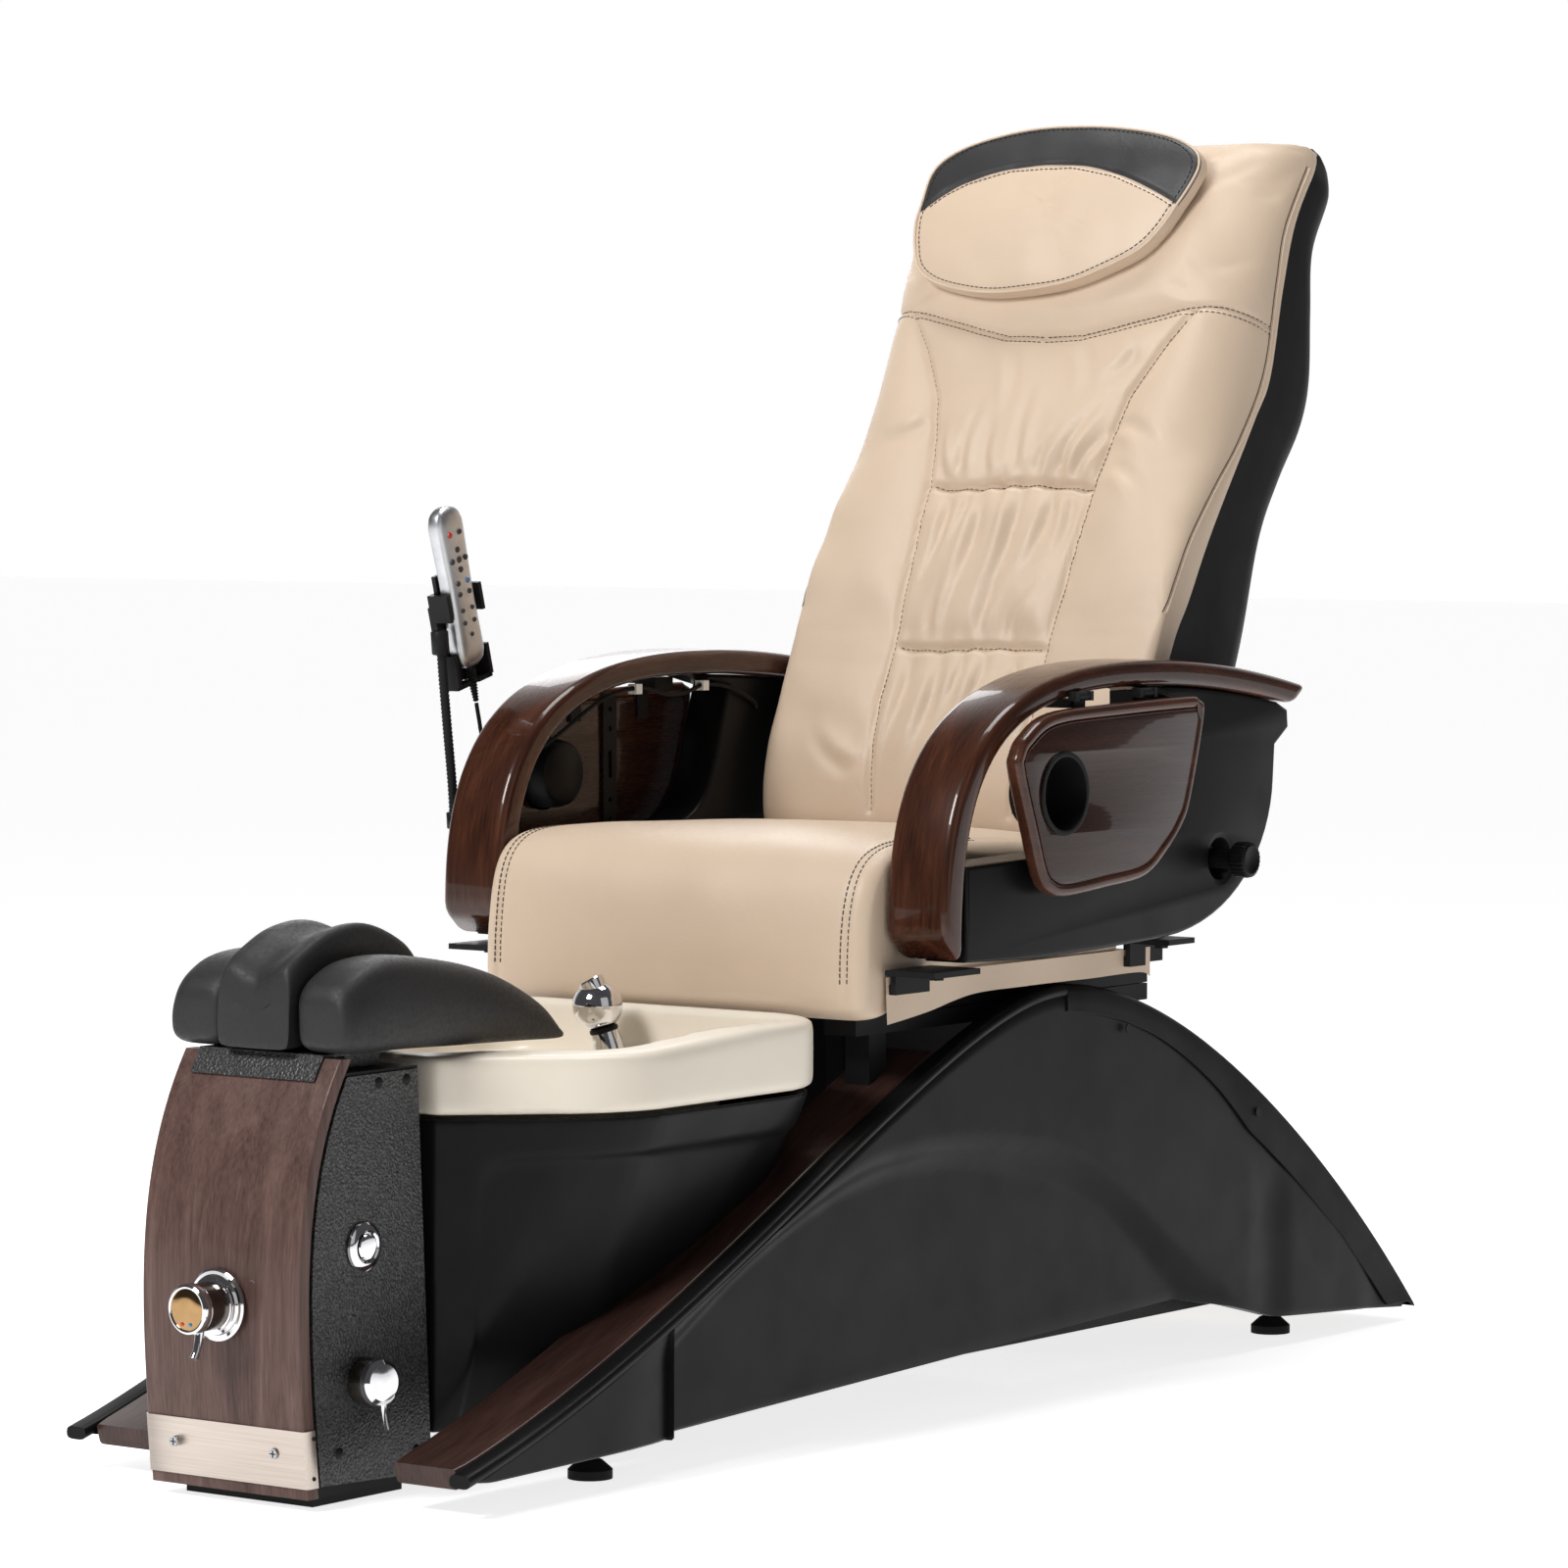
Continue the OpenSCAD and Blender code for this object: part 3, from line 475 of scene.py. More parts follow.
def ease(x, a=0.0, b=1.0):
    t = min(1.0, max(0.0, (x - a) / (b - a)))
    return t * t * (3 - 2 * t)


def normals_2d(line):
    """Unit normals on the left of an open [y, z] line."""
    line = np.array(line)
    t = np.gradient(line, axis=0)
    t /= np.linalg.norm(t, axis=1)[:, None]
    return np.stack([-t[:, 1], t[:, 0]], axis=1)


def tube(line, r, sides=10):
    """Rings round a line of Vectors, with no twist."""
    rings = []
    ref = Vector((0.31, 0.17, 0.93))
    for i, p in enumerate(line):
        t = (line[min(i + 1, len(line) - 1)] - line[max(i - 1, 0)]).normalized()
        u = (ref - t * ref.dot(t)).normalized()
        ref = u
        v = t.cross(u)
        radius = r[i] if isinstance(r, (list, tuple)) else r
        rings.append([p + radius * MM * (math.cos(a) * u + math.sin(a) * v)
                      for a in turns(sides)])
    return loft(rings)


def lathe(profile, place, axis, sides=48):
    """Turns [along, radius] points, in millimetres, round an axis through place."""
    axis = Vector(axis).normalized()
    ref = Vector((0, 0, 1)) if abs(axis.z) < 0.9 else Vector((1, 0, 0))
    u = axis.cross(ref).normalized()
    v = axis.cross(u)
    rings = []
    for a, r in profile:
        r = max(r, 0.02)
        rings.append([place + axis * a * MM + r * MM * (math.cos(t) * u + math.sin(t) * v)
                      for t in turns(sides)])
    return loft(rings)


def merged(parts):
    """One vertex and face list from several."""
    verts, faces = [], []
    for v, f in parts:
        base = len(verts)
        verts += list(v)
        faces += [tuple(i + base for i in face) for face in f]
    return verts, faces


def plate(outline, holes, x0, x1, bevel, segments=3):
    """A flat board in the [y, z] plane from x0 to x1 with rounded edges; returns its mesh."""
    data = bpy.data.curves.new("board", "CURVE")
    data.dimensions = "2D"
    data.fill_mode = "BOTH"
    data.extrude = abs(x1 - x0) / 2 - bevel
    data.bevel_depth = bevel
    data.offset = -bevel
    data.bevel_resolution = segments
    for line in [outline, *holes]:
        part = data.splines.new("POLY")
        part.points.add(len(line) - 1)
        for q, (y, z) in zip(part.points, line):
            q.co = (y, z, 0, 1)
        part.use_cyclic_u = True
    ob = linked("board", data)
    bpy.context.view_layer.update()
    mesh = bpy.data.meshes.new_from_object(ob.evaluated_get(bpy.context.evaluated_depsgraph_get()))
    bpy.data.objects.remove(ob)
    middle = (x0 + x1) / 2
    for v in mesh.vertices:
        v.co = point(middle + v.co.z, v.co.x, v.co.y)
    clean(mesh, weld=0.00002)
    return mesh


def circle(y, z, r, count=40):
    return [(y + r * math.cos(a), z + r * math.sin(a)) for a in turns(count)]


def vertex_array(mesh):
    co = np.empty(len(mesh.vertices) * 3)
    mesh.vertices.foreach_get("co", co)
    return co.reshape(-1, 3)


def set_vertices(mesh, co):
    mesh.vertices.foreach_set("co", co.reshape(-1))
    mesh.update()


def subdivide(ob):
    mod = ob.modifiers.new("round", "SUBSURF")
    mod.levels = mod.render_levels = 1
    apply_modifiers(ob)


def apply_modifiers(ob):
    bpy.context.view_layer.update()
    made = bpy.data.meshes.new_from_object(ob.evaluated_get(bpy.context.evaluated_depsgraph_get()))
    ob.modifiers.clear()
    old = ob.data
    ob.data = made
    bpy.data.meshes.remove(old)


def inflate(ob, pinned, pressure, cap, frames=18):
    """Cloth with pressure inside, its pinned seams held; each move is capped, then applied."""
    rest = vertex_array(ob.data)
    group = ob.vertex_groups.new(name="seams")
    group.add([int(i) for i in pinned], 1.0, "REPLACE")
    mod = ob.modifiers.new("cloth", "CLOTH")
    s = mod.settings
    s.quality = 5
    s.mass = 0.3
    s.tension_stiffness = s.compression_stiffness = 12
    s.shear_stiffness = 4
    s.bending_stiffness = 0.4
    s.use_pressure = True
    s.uniform_pressure_force = pressure
    s.effector_weights.gravity = 0
    s.vertex_group_mass = "seams"
    mod.collision_settings.use_collision = False
    scene = bpy.context.scene
    for f in range(1, frames + 1):
        scene.frame_set(f)
    puffed = vertex_array(ob.evaluated_get(bpy.context.evaluated_depsgraph_get()).data)
    ob.modifiers.remove(mod)
    scene.frame_set(1)
    move = puffed - rest
    size = np.linalg.norm(move, axis=1)
    share = np.minimum(1.0, cap * MM / np.maximum(size, 1e-9))
    set_vertices(ob.data, rest + move * share[:, None])
    ob.vertex_groups.clear()


def thread(line, length=4.2, pitch=6.4, r=0.55, lift=0.2):
    """A row of stitches along a list of (point, normal)."""
    pts = [p for p, _ in line]
    travel = [0.0]
    for a, b in zip(pts, pts[1:]):
        travel.append(travel[-1] + (b - a).length / MM)
    px = [[getattr(p, c) for p in pts] for c in "xyz"]
    nx = [[getattr(q, c) for _, q in line] for c in "xyz"]

    def at(d):
        return (Vector([np.interp(d, travel, c) for c in px]),
                Vector([np.interp(d, travel, c) for c in nx]).normalized())

    parts = []
    d = pitch / 2
    while d + length < travel[-1]:
        run = []
        for share, up in ((0, -0.7), (0.2, 0.7), (0.8, 0.7), (1, -0.7)):
            p, q = at(d + share * length)
            run.append(p + q * (lift + up * r) * MM)
        parts.append(tube(run, r, 5))
        d += pitch
    return parts


# ------------------------------------------------------------------ surfaces seen by rays
def surface(ob):
    mesh = ob.data
    return BVHTree.FromPolygons([v.co for v in mesh.vertices], [p.vertices for p in mesh.polygons])


def project(tree, points, direction, back_off=0.12):
    """Drops points on a surface along a direction; gives (point, outward normal) pairs."""
    out = []
    d = Vector(direction).normalized()
    for p in points:
        hit, normal, _, _ = tree.ray_cast(p - d * back_off, d, back_off * 2)
        if hit is not None:
            out.append((hit, normal if normal.dot(d) < 0 else -normal))
    return out


BACKWARDS = back_point(0, 1, 0) - back_point(0, 0, 0)
GRAZING = 0.12  # a ray that meets the surface flatter than this is dropped


def seam(line, tree, direction, r, name, mat, body, lift=0.2):
    """A thin raised cord that lies on a surface."""
    aim = Vector(direction).normalized()
    run = [p + q * lift * MM for p, q in project(tree, line, aim) if abs(q.dot(aim)) > GRAZING]
    verts, faces = tube(run, r, 8)
    return add(name, verts, faces, mat, body, sharp=0)


def distance_to(line, a, b):
    """Distance of each (a, b) from a polyline."""
    best = np.full(len(a), 1e9)
    for (p, q), (u, v) in zip(line, line[1:]):
        dx, dy = u - p, v - q
        t = np.clip(((a - p) * dx + (b - q) * dy) / (dx * dx + dy * dy + 1e-9), 0, 1)
        best = np.minimum(best, np.hypot(a - p - t * dx, b - q - t * dy))
    return best


def back_local(co):
    y, z = co[:, 1] / MM - BACK_Y, co[:, 2] / MM - BACK_Z
    return co[:, 0] / MM, y * LEAN_COS - z * LEAN_SIN, y * LEAN_SIN + z * LEAN_COS


def back_world(x, n, s):
    y = BACK_Y + n * LEAN_COS + s * LEAN_SIN
    return np.stack([x, y, BACK_Z - n * LEAN_SIN + s * LEAN_COS], axis=1) * MM


# ------------------------------------------------------------------ back cushion and pillow
# The outlines here and below are points read off the photo. The fitted camera turned
# them into millimetres, which were then rounded and adjusted.
YOKE = [(0, 572), (50, 574), (90, 583), (125, 592), (170, 603), (211, 611), (244, 615)]
PANEL = [(190, 603), (160, 560), (130, 500), (120, 455), (110, 393), (109, 340), (106, 275),
         (102, 197), (104, 133), (98, 60), (94, 12)]
GATHERS = [(392, 110), (199, 102)]
FOLDS = [
    (60, 398, 96, 500, 5.0, 7), (82, 398, 118, 470, 4.5, 6), (34, 398, 52, 470, 4.0, 6),
    (8, 398, 2, 520, 3.6, 8), (-28, 398, -40, 470, 3.6, 6), (-70, 398, -62, 500, 4.5, 7),
    (-88, 398, -112, 470, 4.0, 6), (-22, 386, -44, 215, 6.0, 9), (26, 386, 4, 215, 6.0, 9),
    (62, 386, 54, 280, 5.0, 7), (-76, 386, -84, 250, 5.0, 7), (-50, 386, -60, 300, 4.0, 6),
    (84, 386, 92, 300, 4.0, 6), (10, 205, 22, 290, 4.0, 6), (-62, 205, -48, 300, 4.5, 7),
    (48, 205, 66, 280, 4.0, 6), (-30, 192, -46, 40, 5.5, 9), (-74, 192, -88, 30, 5.0, 8),
    (26, 192, 10, 90, 5.0, 7), (66, 192, 58, 80, 4.5, 7), (-4, 192, -12, 110, 4.0, 6),
    (88, 192, 96, 110, 3.5, 6), (128, 470, 196, 430, 3.0, 9), (132, 420, 206, 360, 2.6, 9),
    (-128, 470, -190, 440, 3.0, 9), (118, 60, 200, 110, 3.6, 10), (-118, 50, -190, 90, 3.2, 10),
    (-40, 566, -16, 470, 2.6, 9), (52, 566, 84, 500, 2.6, 9), (130, 560, 96, 510, 3.0, 8)
]
side_seam = along([(-20, 30), (60, 14), (190, -2), (232, 0), (330, 11), (408, 33), (476, 56),
                   (565, 70), (665, 51), (732, 41.5), (826, 58)])
side_rear = along([(-20, 40), (60, 34), (120, 30), (224, 30), (275, 38), (364, 48), (507, 74),
                   (565, 83), (665, 65), (748, 57), (835, 74)])
cushion_face = spline([(-2, 62), (-9, 50), (-7, 36), (18, 20), (77, 3), (147, -1), (230, -4),
                       (313, -7), (447, -8), (530, -12), (611, -17), (690, -16), (770, -9),
                       (806, -4), (822, 6), (831, 22), (836, 46), (838, 68)], 14)


def both_ways(line):
    return [[(x, s) for x, s in line], [(-x, s) for x, s in line]]


def even(line, step):
    """Points at an even step along a polyline."""
    line = np.array(line, float)
    run = np.concatenate([[0], np.cumsum(np.linalg.norm(np.diff(line, axis=0), axis=1))])
    at = np.linspace(0, run[-1], max(2, int(run[-1] / step) + 1))
    return [tuple(np.interp(a, run, line[:, k]) for k in range(line.shape[1])) for a in at]


def cushion_ring(s, nf):
    ns = max(float(side_seam(s)), nf + 8)
    rho = min(48.0, max(12.0, ns - nf))
    top = max(0.0, (s - 800) / 40)
    w = 244 - 15 * (1 - math.sqrt(max(0.0, 1 - top * top)))
    nr = max(float(side_rear(s)), ns + 9)
    rx = 1.3 * rho
    half = [(x, nf) for x in np.linspace(0, w - rx, 30)]
    for k in range(1, 11):
        a = math.pi / 2 * k / 10
        half.append((w - rx + rx * math.sin(a), nf + (ns - nf) * (1 - math.cos(a))))
    for k in range(1, 9):
        t = k / 8
        half.append((w + 1.6 * math.sin(math.pi * t), ns + (nr - ns) * t))
    deep = max(72.0, nf + 3)
    half += [(w - 2, nr + 1), (w - 5, nr + 1), (w - 8, (nr + deep) / 2), (w - 16, deep)]
    half += [(x, deep) for x in np.linspace(w - 45, 0, 8)]
    return whole(half)


def back_cushion(m):
    rings = [[back_point(x, n, s) for x, n in cushion_ring(s, nf)]
             for s, nf in even(cushion_face, 6)]
    ob = add("back_cushion_pad", *loft(rings), m["beige"], "back", sharp=0, slot="beige_leather",
             replaces=["back_cushion"], ride=False)
    x, n, s = back_local(vertex_array(ob.data))
    ax = np.abs(x)
    d_yoke, d_panel = distance_to(YOKE, ax, s), distance_to(PANEL, ax, s)
    front = n < np.maximum(side_seam(s), -20) + 4
    pinned = np.where(((d_yoke < 3.5) | (d_panel < 3.5)) & front)[0].tolist()
    pinned += np.where(n > side_seam(s) - 2)[0].tolist()
    inflate(ob, pinned, 4.0, 7.0)
    subdivide(ob)
    carve_back(ob)
    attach(ob, "back")
    tree = surface(ob)
    parts, pale = [], []
    for side, line in zip("lr", both_ways(YOKE)):
        pts = even(line, 4)
        low = [(a, b - 3.5) for a, b in pts]
        seam([back_point(a, BEFORE_BACK, b) for a, b in low], tree, BACKWARDS, 0.9,
             "yoke_piping_" + side, m["beige"], "back", 0.1)
        for shift in (0.6, -7.5):
            run = project(tree, [back_point(a, BEFORE_BACK, b + shift) for a, b in pts], BACKWARDS)
            parts += thread(run, r=0.5, lift=0.1)
    for line in both_ways(PANEL):
        pts = even(line, 4)
        run = [back_point(a, BEFORE_BACK, b) for a, b in pts if b < 596]
        pale += thread(project(tree, run, BACKWARDS), r=0.5, lift=0.0)
    for at, reach in GATHERS:
        run = [back_point(x, BEFORE_BACK, at + 2.5 * math.sin(x / 31.0))
               for x in range(4 - reach, reach, 3)]
        pale += thread(project(tree, run, BACKWARDS), r=0.6, lift=0.0)
    add("back_panel_stitching", *merged(pale), m["tan_thread"], "back", sharp=0)
    add("back_stitching", *merged(parts), m["thread"], "back", sharp=0)
    for side, sign in (("l", 1), ("r", -1)):
        pts = [back_point(sign * 270, max(float(side_seam(b)), -16) + 1, b)
               for b in np.arange(245, 815, 5)]
        seam(pts, tree, (-sign, 0, 0), 1.3, "side_piping_" + side, m["beige"], "back", 0.4)
        low = [p - BACKWARDS * 4 for p in pts]
        seam(low, tree, (-sign, 0, 0), 0.6, "side_stitch_" + side, m["thread"], "back", 0.1)
    return ob


def carve_back(ob):
    """Sewn channels, padded panels between them and gathered folds of the back cushion."""
    x, n, s = back_local(vertex_array(ob.data))
    ax = np.abs(x)
    face = fade(n - np.maximum(side_seam(s), -14) - 2, 2.5)
    d_yoke, d_panel = distance_to(YOKE, ax, s), distance_to(PANEL, ax, s)
    near = np.minimum(d_yoke, d_panel)
    puff = 5.5 * (1 - np.exp(-near / 26))
    n = n - face * (puff - 3.0)
    n = n + face * (4.2 * hump(d_yoke, 3.4) + 4.6 * hump(d_panel, 3.6))
    for at, reach in GATHERS:
        inside = fade(ax - reach + 6, 4)
        d = np.abs(s - at - 2.5 * np.sin(x / 31.0))
        n = n + face * inside * (9.5 * hump(d, 4.5) + 6.5 * hump(d, 26))
        fan = np.sin(x / 5.6 + 1.3 * np.sin(x / 23.0)) * np.exp(-d / 17) * (d > 0.5)
        n = n - face * inside * 3.6 * fan
        sweep = np.sin((x + 0.35 * (s - at) * np.sign(x)) / 17.0 + 2.0) * hump(d - 30, 34)
        n = n - face * inside * 2.6 * sweep
    for x0, s0, x1, s1, depth, width in FOLDS:
        dx, ds = x1 - x0, s1 - s0
        t = ((x - x0) * dx + (s - s0) * ds) / (dx * dx + ds * ds)
        across = ((x - x0) * ds - (s - s0) * dx) / math.hypot(dx, ds)
        taper = np.clip(t * 5, 0, 1) * np.clip((1 - t) * 1.6, 0, 1)
        curl = across + 5 * np.sin(t * 4.0)
        shape = hump(curl, width) - 0.7 * hump(curl - 1.7 * width, width)
        n = n + face * depth * taper * shape
    outer = fade(PANEL[4][0] + 10 - ax, 4) * face
    for at in (120, 250, 340, 455):
        n = n - outer * 1.5 * np.cos((s - at - 0.2 * ax) / 19.0) * hump(s - at, 40.0)
    n = n - face * 2.2 * lumps(x / 60, s / 60, np.full(len(x), 2.0))
    set_vertices(ob.data, back_world(x, n, s))


PILLOW = [(-194, 728), (-191, 764), (-173, 786), (-134, 803), (-71, 816), (-4, 818), (63, 813),
          (122, 801), (157, 784), (168, 766), (164, 744), (152, 716), (140, 690), (119, 664),
          (83, 644), (41, 627), (-13, 617), (-73, 614), (-134, 624), (-171, 642), (-187, 671),
          (-195, 702)]
CRESCENT = [(-196, 716), (-160, 738), (-131, 750), (-72, 763), (8, 765), (68, 753), (125, 731),
            (168, 709)]
PILLOW_MIDDLE = (-13, 716)


def head_pillow(m):
    line = even(spline(PILLOW, 8, closed=True) + [PILLOW[0]], 6)[:-1]
    cx, cs = PILLOW_MIDDLE
    rings = []

    def ring(share, n):
        rings.append([back_point(cx + (a - cx) * share, n, cs + (b - cs) * share)
                      for a, b in line])

    for k in range(1, 26):
        t = k / 25
        ring(t, -45 - 14 * (1 - t ** 2.6))
    for share, n in ((1.008, -42), (1.016, -38), (1.02, -34), (1.018, -30), (1.006, -26.5),
                     (0.98, -24.6), (0.93, -25), (0.8, -25), (0.5, -25), (0.1, -25)):
        ring(share, n)
    verts, faces = loft(rings)
    paint = Paint("pillow_leather", (0.7, 0.5, 0.35), 0.42)
    mask = paint.node("ShaderNodeAttribute", attribute_name="crescent").outputs["Fac"]
    step = paint.grey(mask, [(0.49, 0.0), (0.51, 1.0)])
    patches = paint.noise(6, detail=4)
    light = paint.ramp(patches, [(0.3, (0.60, 0.465, 0.345)), (0.7, (0.64, 0.50, 0.375))])
    dark = paint.ramp(patches, [(0.3, (0.022, 0.022, 0.023)), (0.7, (0.032, 0.032, 0.033))])
    paint.color(paint.mixed(step, light, dark))
    creases = paint.bump(paint.noise(34, detail=5, distortion=0.6), 0.25, 0.002)
    pores = paint.cells(620, "DISTANCE_TO_EDGE")
    paint.bump(paint.grey(pores, [(0, 0.0), (0.25, 1.0)]), 0.22, 0.00035, creases)
    ob = add("head_pillow_pad", verts, faces, paint.mat, "pillow", sharp=0,
             slot="beige_leather", replaces=["head_pillow"], ride=False)
    count = len(line)
    pinned = list(range(24 * count, 25 * count)) + list(range(30 * count, 35 * count))
    inflate(ob, pinned, 3.5, 4.0)
    subdivide(ob)
    x, n, s = back_local(vertex_array(ob.data))
    edge = distance_to(CRESCENT, x, s)
    face = fade(n + 44, 1.5)
    n = n + face * 3.6 * hump(edge, 3.2)
    n = n - face * 1.6 * lumps(x / 45, s / 45, np.full(len(x), 5.0))
    set_vertices(ob.data, back_world(x, n, s))
    limit = along(CRESCENT)
    value = np.clip(0.5 + (s - limit(x)) / 30, 0, 1) * (n < -41) + 0.0
    mask = ob.data.attributes.new("crescent", "FLOAT", "POINT")
    mask.data.foreach_set("value", value.astype(np.float32))
    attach(ob, "pillow")
    loop = [back_point(cx + (a - cx) * 1.006, -44.5, cs + (b - cs) * 1.006) for a, b in line]
    add("pillow_piping", *tube(loop + loop[:2], 1.5, 8), m["beige"], "pillow", sharp=0)
    tree = surface(ob)
    run = [back_point(a, BEFORE_PILLOW, b - 5) for a, b in even(CRESCENT, 4)[4:-4]]
    stitches = thread(project(tree, run, BACKWARDS))
    ring_in = [back_point(cx + (a - cx) * 0.965, BEFORE_PILLOW, cs + (b - cs) * 0.965)
               for a, b in line]
    stitches += thread(project(tree, ring_in + ring_in[:1], BACKWARDS))
    add("pillow_stitching", *merged(stitches), m["thread"], "pillow", sharp=0)


def back_shell(m):
    """Moulded cover behind the cushion, with rolled rear corners."""
    rear = spline([(0, 60), (4, 150), (90, 182), (262, 186), (397, 170), (473, 178), (545, 194),
                   (600, 190), (671, 160), (735, 134), (800, 139), (832, 134), (842, 108)], 8)
    rings = []
    for s, n in even(rear, 9):
        front = min(max(22.0, float(side_rear(s)) - 4), n - 20)
        w = 243.4 - 12 * ease(s, 800, 846)
        r = min(46.0, (n - front) * 0.6)
        half = [(0, n), (w - r - 60, n), (w - r - 20, n - 0.4)]
        for k in range(0, 9):
            a = math.pi / 2 * k / 8
            half.append((w - r + r * math.sin(a), n - r + r * math.cos(a)))
        half += [(w, n - r - (n - r - front) * 0.5), (w, front), (w - 4, front),
                 (w - 4, front + 8), (w - 8, n - 8 - r * 0.5), (w - r - 8, n - 5), (0, n - 5)]
        rings.append([back_point(x, q, s) for x, q in whole(half)])
    add("back_shell_cover", *loft(rings), m["back_abs"], "back", 50, "black_abs", ["back_shell"])


# ------------------------------------------------------------------ seat
def seat_cushion(m):
    bottom = [(-139, 458), (-139, 420), (-160, 420), (-169, 430)]
    roll = bez_line([[-170, 430], [-174, 570], [-152, 597], [-66, 598]], 26)
    top = spline([(-66, 598), (20, 594), (120, 589), (220, 584), (296, 582), (306, 574)], 6)
    rear = [(306, 540), (306, 500), (306, 458)]
    under = [(200, 458), (80, 458), (-40, 458)]
    loop = even([tuple(p) for p in [*bottom, *roll, *top[1:], *rear, *under]] + [bottom[0]], 7)[:-1]
    loop = np.array(loop)
    middle = np.array([70.0, 520.0])
    pull = loop - middle
    pull /= np.linalg.norm(pull, axis=1)[:, None]
    rings = []
    for x in np.concatenate([[-250, -249, -246, -241, -234], np.arange(-227, 228, 8.0),
                             [234, 241, 246, 249, 250]]):
        edge = max(0.0, abs(x) - 228) / 22
        inset = 20 * (1 - math.sqrt(max(0.0, 1 - edge * edge)))
        rings.append([point(x, y, z) for y, z in loop - pull * inset])
    ob = add("seat_cushion_pad", *loft(rings), m["beige"], "seat", sharp=0, slot="beige_leather",
             replaces=["seat_cushion"], ride=False)
    co = vertex_array(ob.data) / MM
    pinned = np.where((np.abs(co[:, 0]) > 226) | (co[:, 2] < 470) | (co[:, 1] > 290))[0].tolist()
    inflate(ob, pinned, 4.0, 9.0)
    subdivide(ob)
    co = vertex_array(ob.data) / MM
    ax = np.abs(co[:, 0])
    out = co[:, 1:] - middle
    out /= np.linalg.norm(out, axis=1)[:, None]
    show = (co[:, 2] > 440) * (co[:, 1] < 290)
    dip = -3.0 * hump(ax - 226, 2.6) * show
    soft = lumps(*(co / 80).T)
    rise = np.clip((co[:, 2] - 500) / 90, 0, 1)
    crown = 5.0 * (1 - (ax / 250) ** 2) * rise * rise * (3 - 2 * rise)
    co[:, 1:] += out * (dip + 2.4 * soft * show + crown * (co[:, 1] < 250))[:, None]
    set_vertices(ob.data, co * MM)
    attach(ob, "seat")
    tree = surface(ob)
    parts = []
    for sign in (1, -1):
        for x in (222, 230):
            run = []
            for y, z in even([tuple(p) for p in roll] + [(-20, 596), (60, 592)], 4)[6:]:
                start = point(sign * x, y - 1, z + 1)
                towards = point(sign * x, 20, 500) - start
                run += project(tree, [start], towards, 0.05)
            parts += thread(run)
    add("seat_stitching", *merged(parts), m["thread"], "seat", sharp=0)
    seat_skirt(m)


def seat_skirt(m):
    low = spline([(-135, 416), (-60, 424), (20, 437), (120, 438), (230, 438), (330, 438),
                  (352, 432)], 10)
    for name, sign in (("seat_skirt_left", 1), ("seat_skirt_right", -1)):
        verts, faces = [], []
        rows = 7
        for y, z in low:
            for k in range(rows):
                t = k / (rows - 1)
                bulge = 1.2 * math.sin(y / 31.0) * (1 - t) + 0.8 * (1 - t) ** 2
                verts.append(point(sign * (253.4 + bulge), y, z + (464 - z) * t))
        for i in range(len(low) - 1):
            for k in range(rows - 1):
                a = i * rows + k
                faces.append((a, a + 1, a + rows + 1, a + rows))
        ob = add(name, verts, faces, m["beige"], "seat", 0, "beige_leather",
                 ["seat_skirt"] if sign > 0 else [])


# ------------------------------------------------------------------ arms and trays
def arm_line(t):
    """Top and underside of the bent arm at t from 0 to 1."""
    if t < 0.55:
        u = t / 0.55
        top = bez([[-136, 506], [-140, 690], [-50, 780], [230, 777]], u)
        low = bez([[-106, 479], [-108, 668], [-50, 756], [227, 750]], u)
    else:
        u = (t - 0.55) / 0.45
        top = bez([[230, 777], [340, 777], [450, 762], [548, 741]], u)
        low = bez([[227, 750], [330, 750], [430, 738], [520, 722]], u)
    return top, low


def arm(m):
    r = 9.0
    rings, grain = [], []
    run = 0.0
    last = None
    steps = [0, 0.002, 0.006, 0.012] + list(np.linspace(0.02, 0.98, 90)) + [0.985, 0.992, 0.997, 1]
    for t in steps:
        top, low = arm_line(t)
        tip = 6 * (1 - math.sqrt(max(0, 1 - (1 - min(t, 0.012) / 0.012) ** 2)))
        tip += 6 * (1 - math.sqrt(max(0, 1 - (max(t - 0.985, 0) / 0.015) ** 2)))
        up = (top - low) / np.linalg.norm(top - low)
        a, b = low + up * tip, top - up * tip
        h = np.linalg.norm(b - a)
        x0, x1 = 253 + tip, 330 - tip
        rr = min(r, h / 2 - 0.5)
        mid = (top + low) / 2
        run += 0 if last is None else float(np.linalg.norm(mid - last))
        last = mid
        ring = []
        for x, d in rounded(x0, x1, 0, h, rr, 6):
            ring.append(point(x, *(a + up * d)))
            grain.append((run * MM, x * MM, d * MM))
        rings.append(ring)
    ob = add("arm_left_wood", *loft(rings), m["arm_wood"], "seat", 60, "walnut", ["arm_left"])
    lay = ob.data.attributes.new("grain", "FLOAT_VECTOR", "POINT")
    lay.data.foreach_set("vector", np.array(grain, np.float32).reshape(-1))
    mirror(ob)


TRAY = [(28, 729), (150, 735), (280, 738), (298, 735), (308, 720), (282, 631), (264, 601),
        (238, 578), (195, 553), (120, 545), (50, 540), (22, 545), (2, 562), (-18, 612),
        (-40, 672), (-38, 690), (-22, 708)]
CUP_Y, CUP_Z = 42, 646
ARM_FACE, KNOB_Y, KNOB_Z = 322, 385, 560


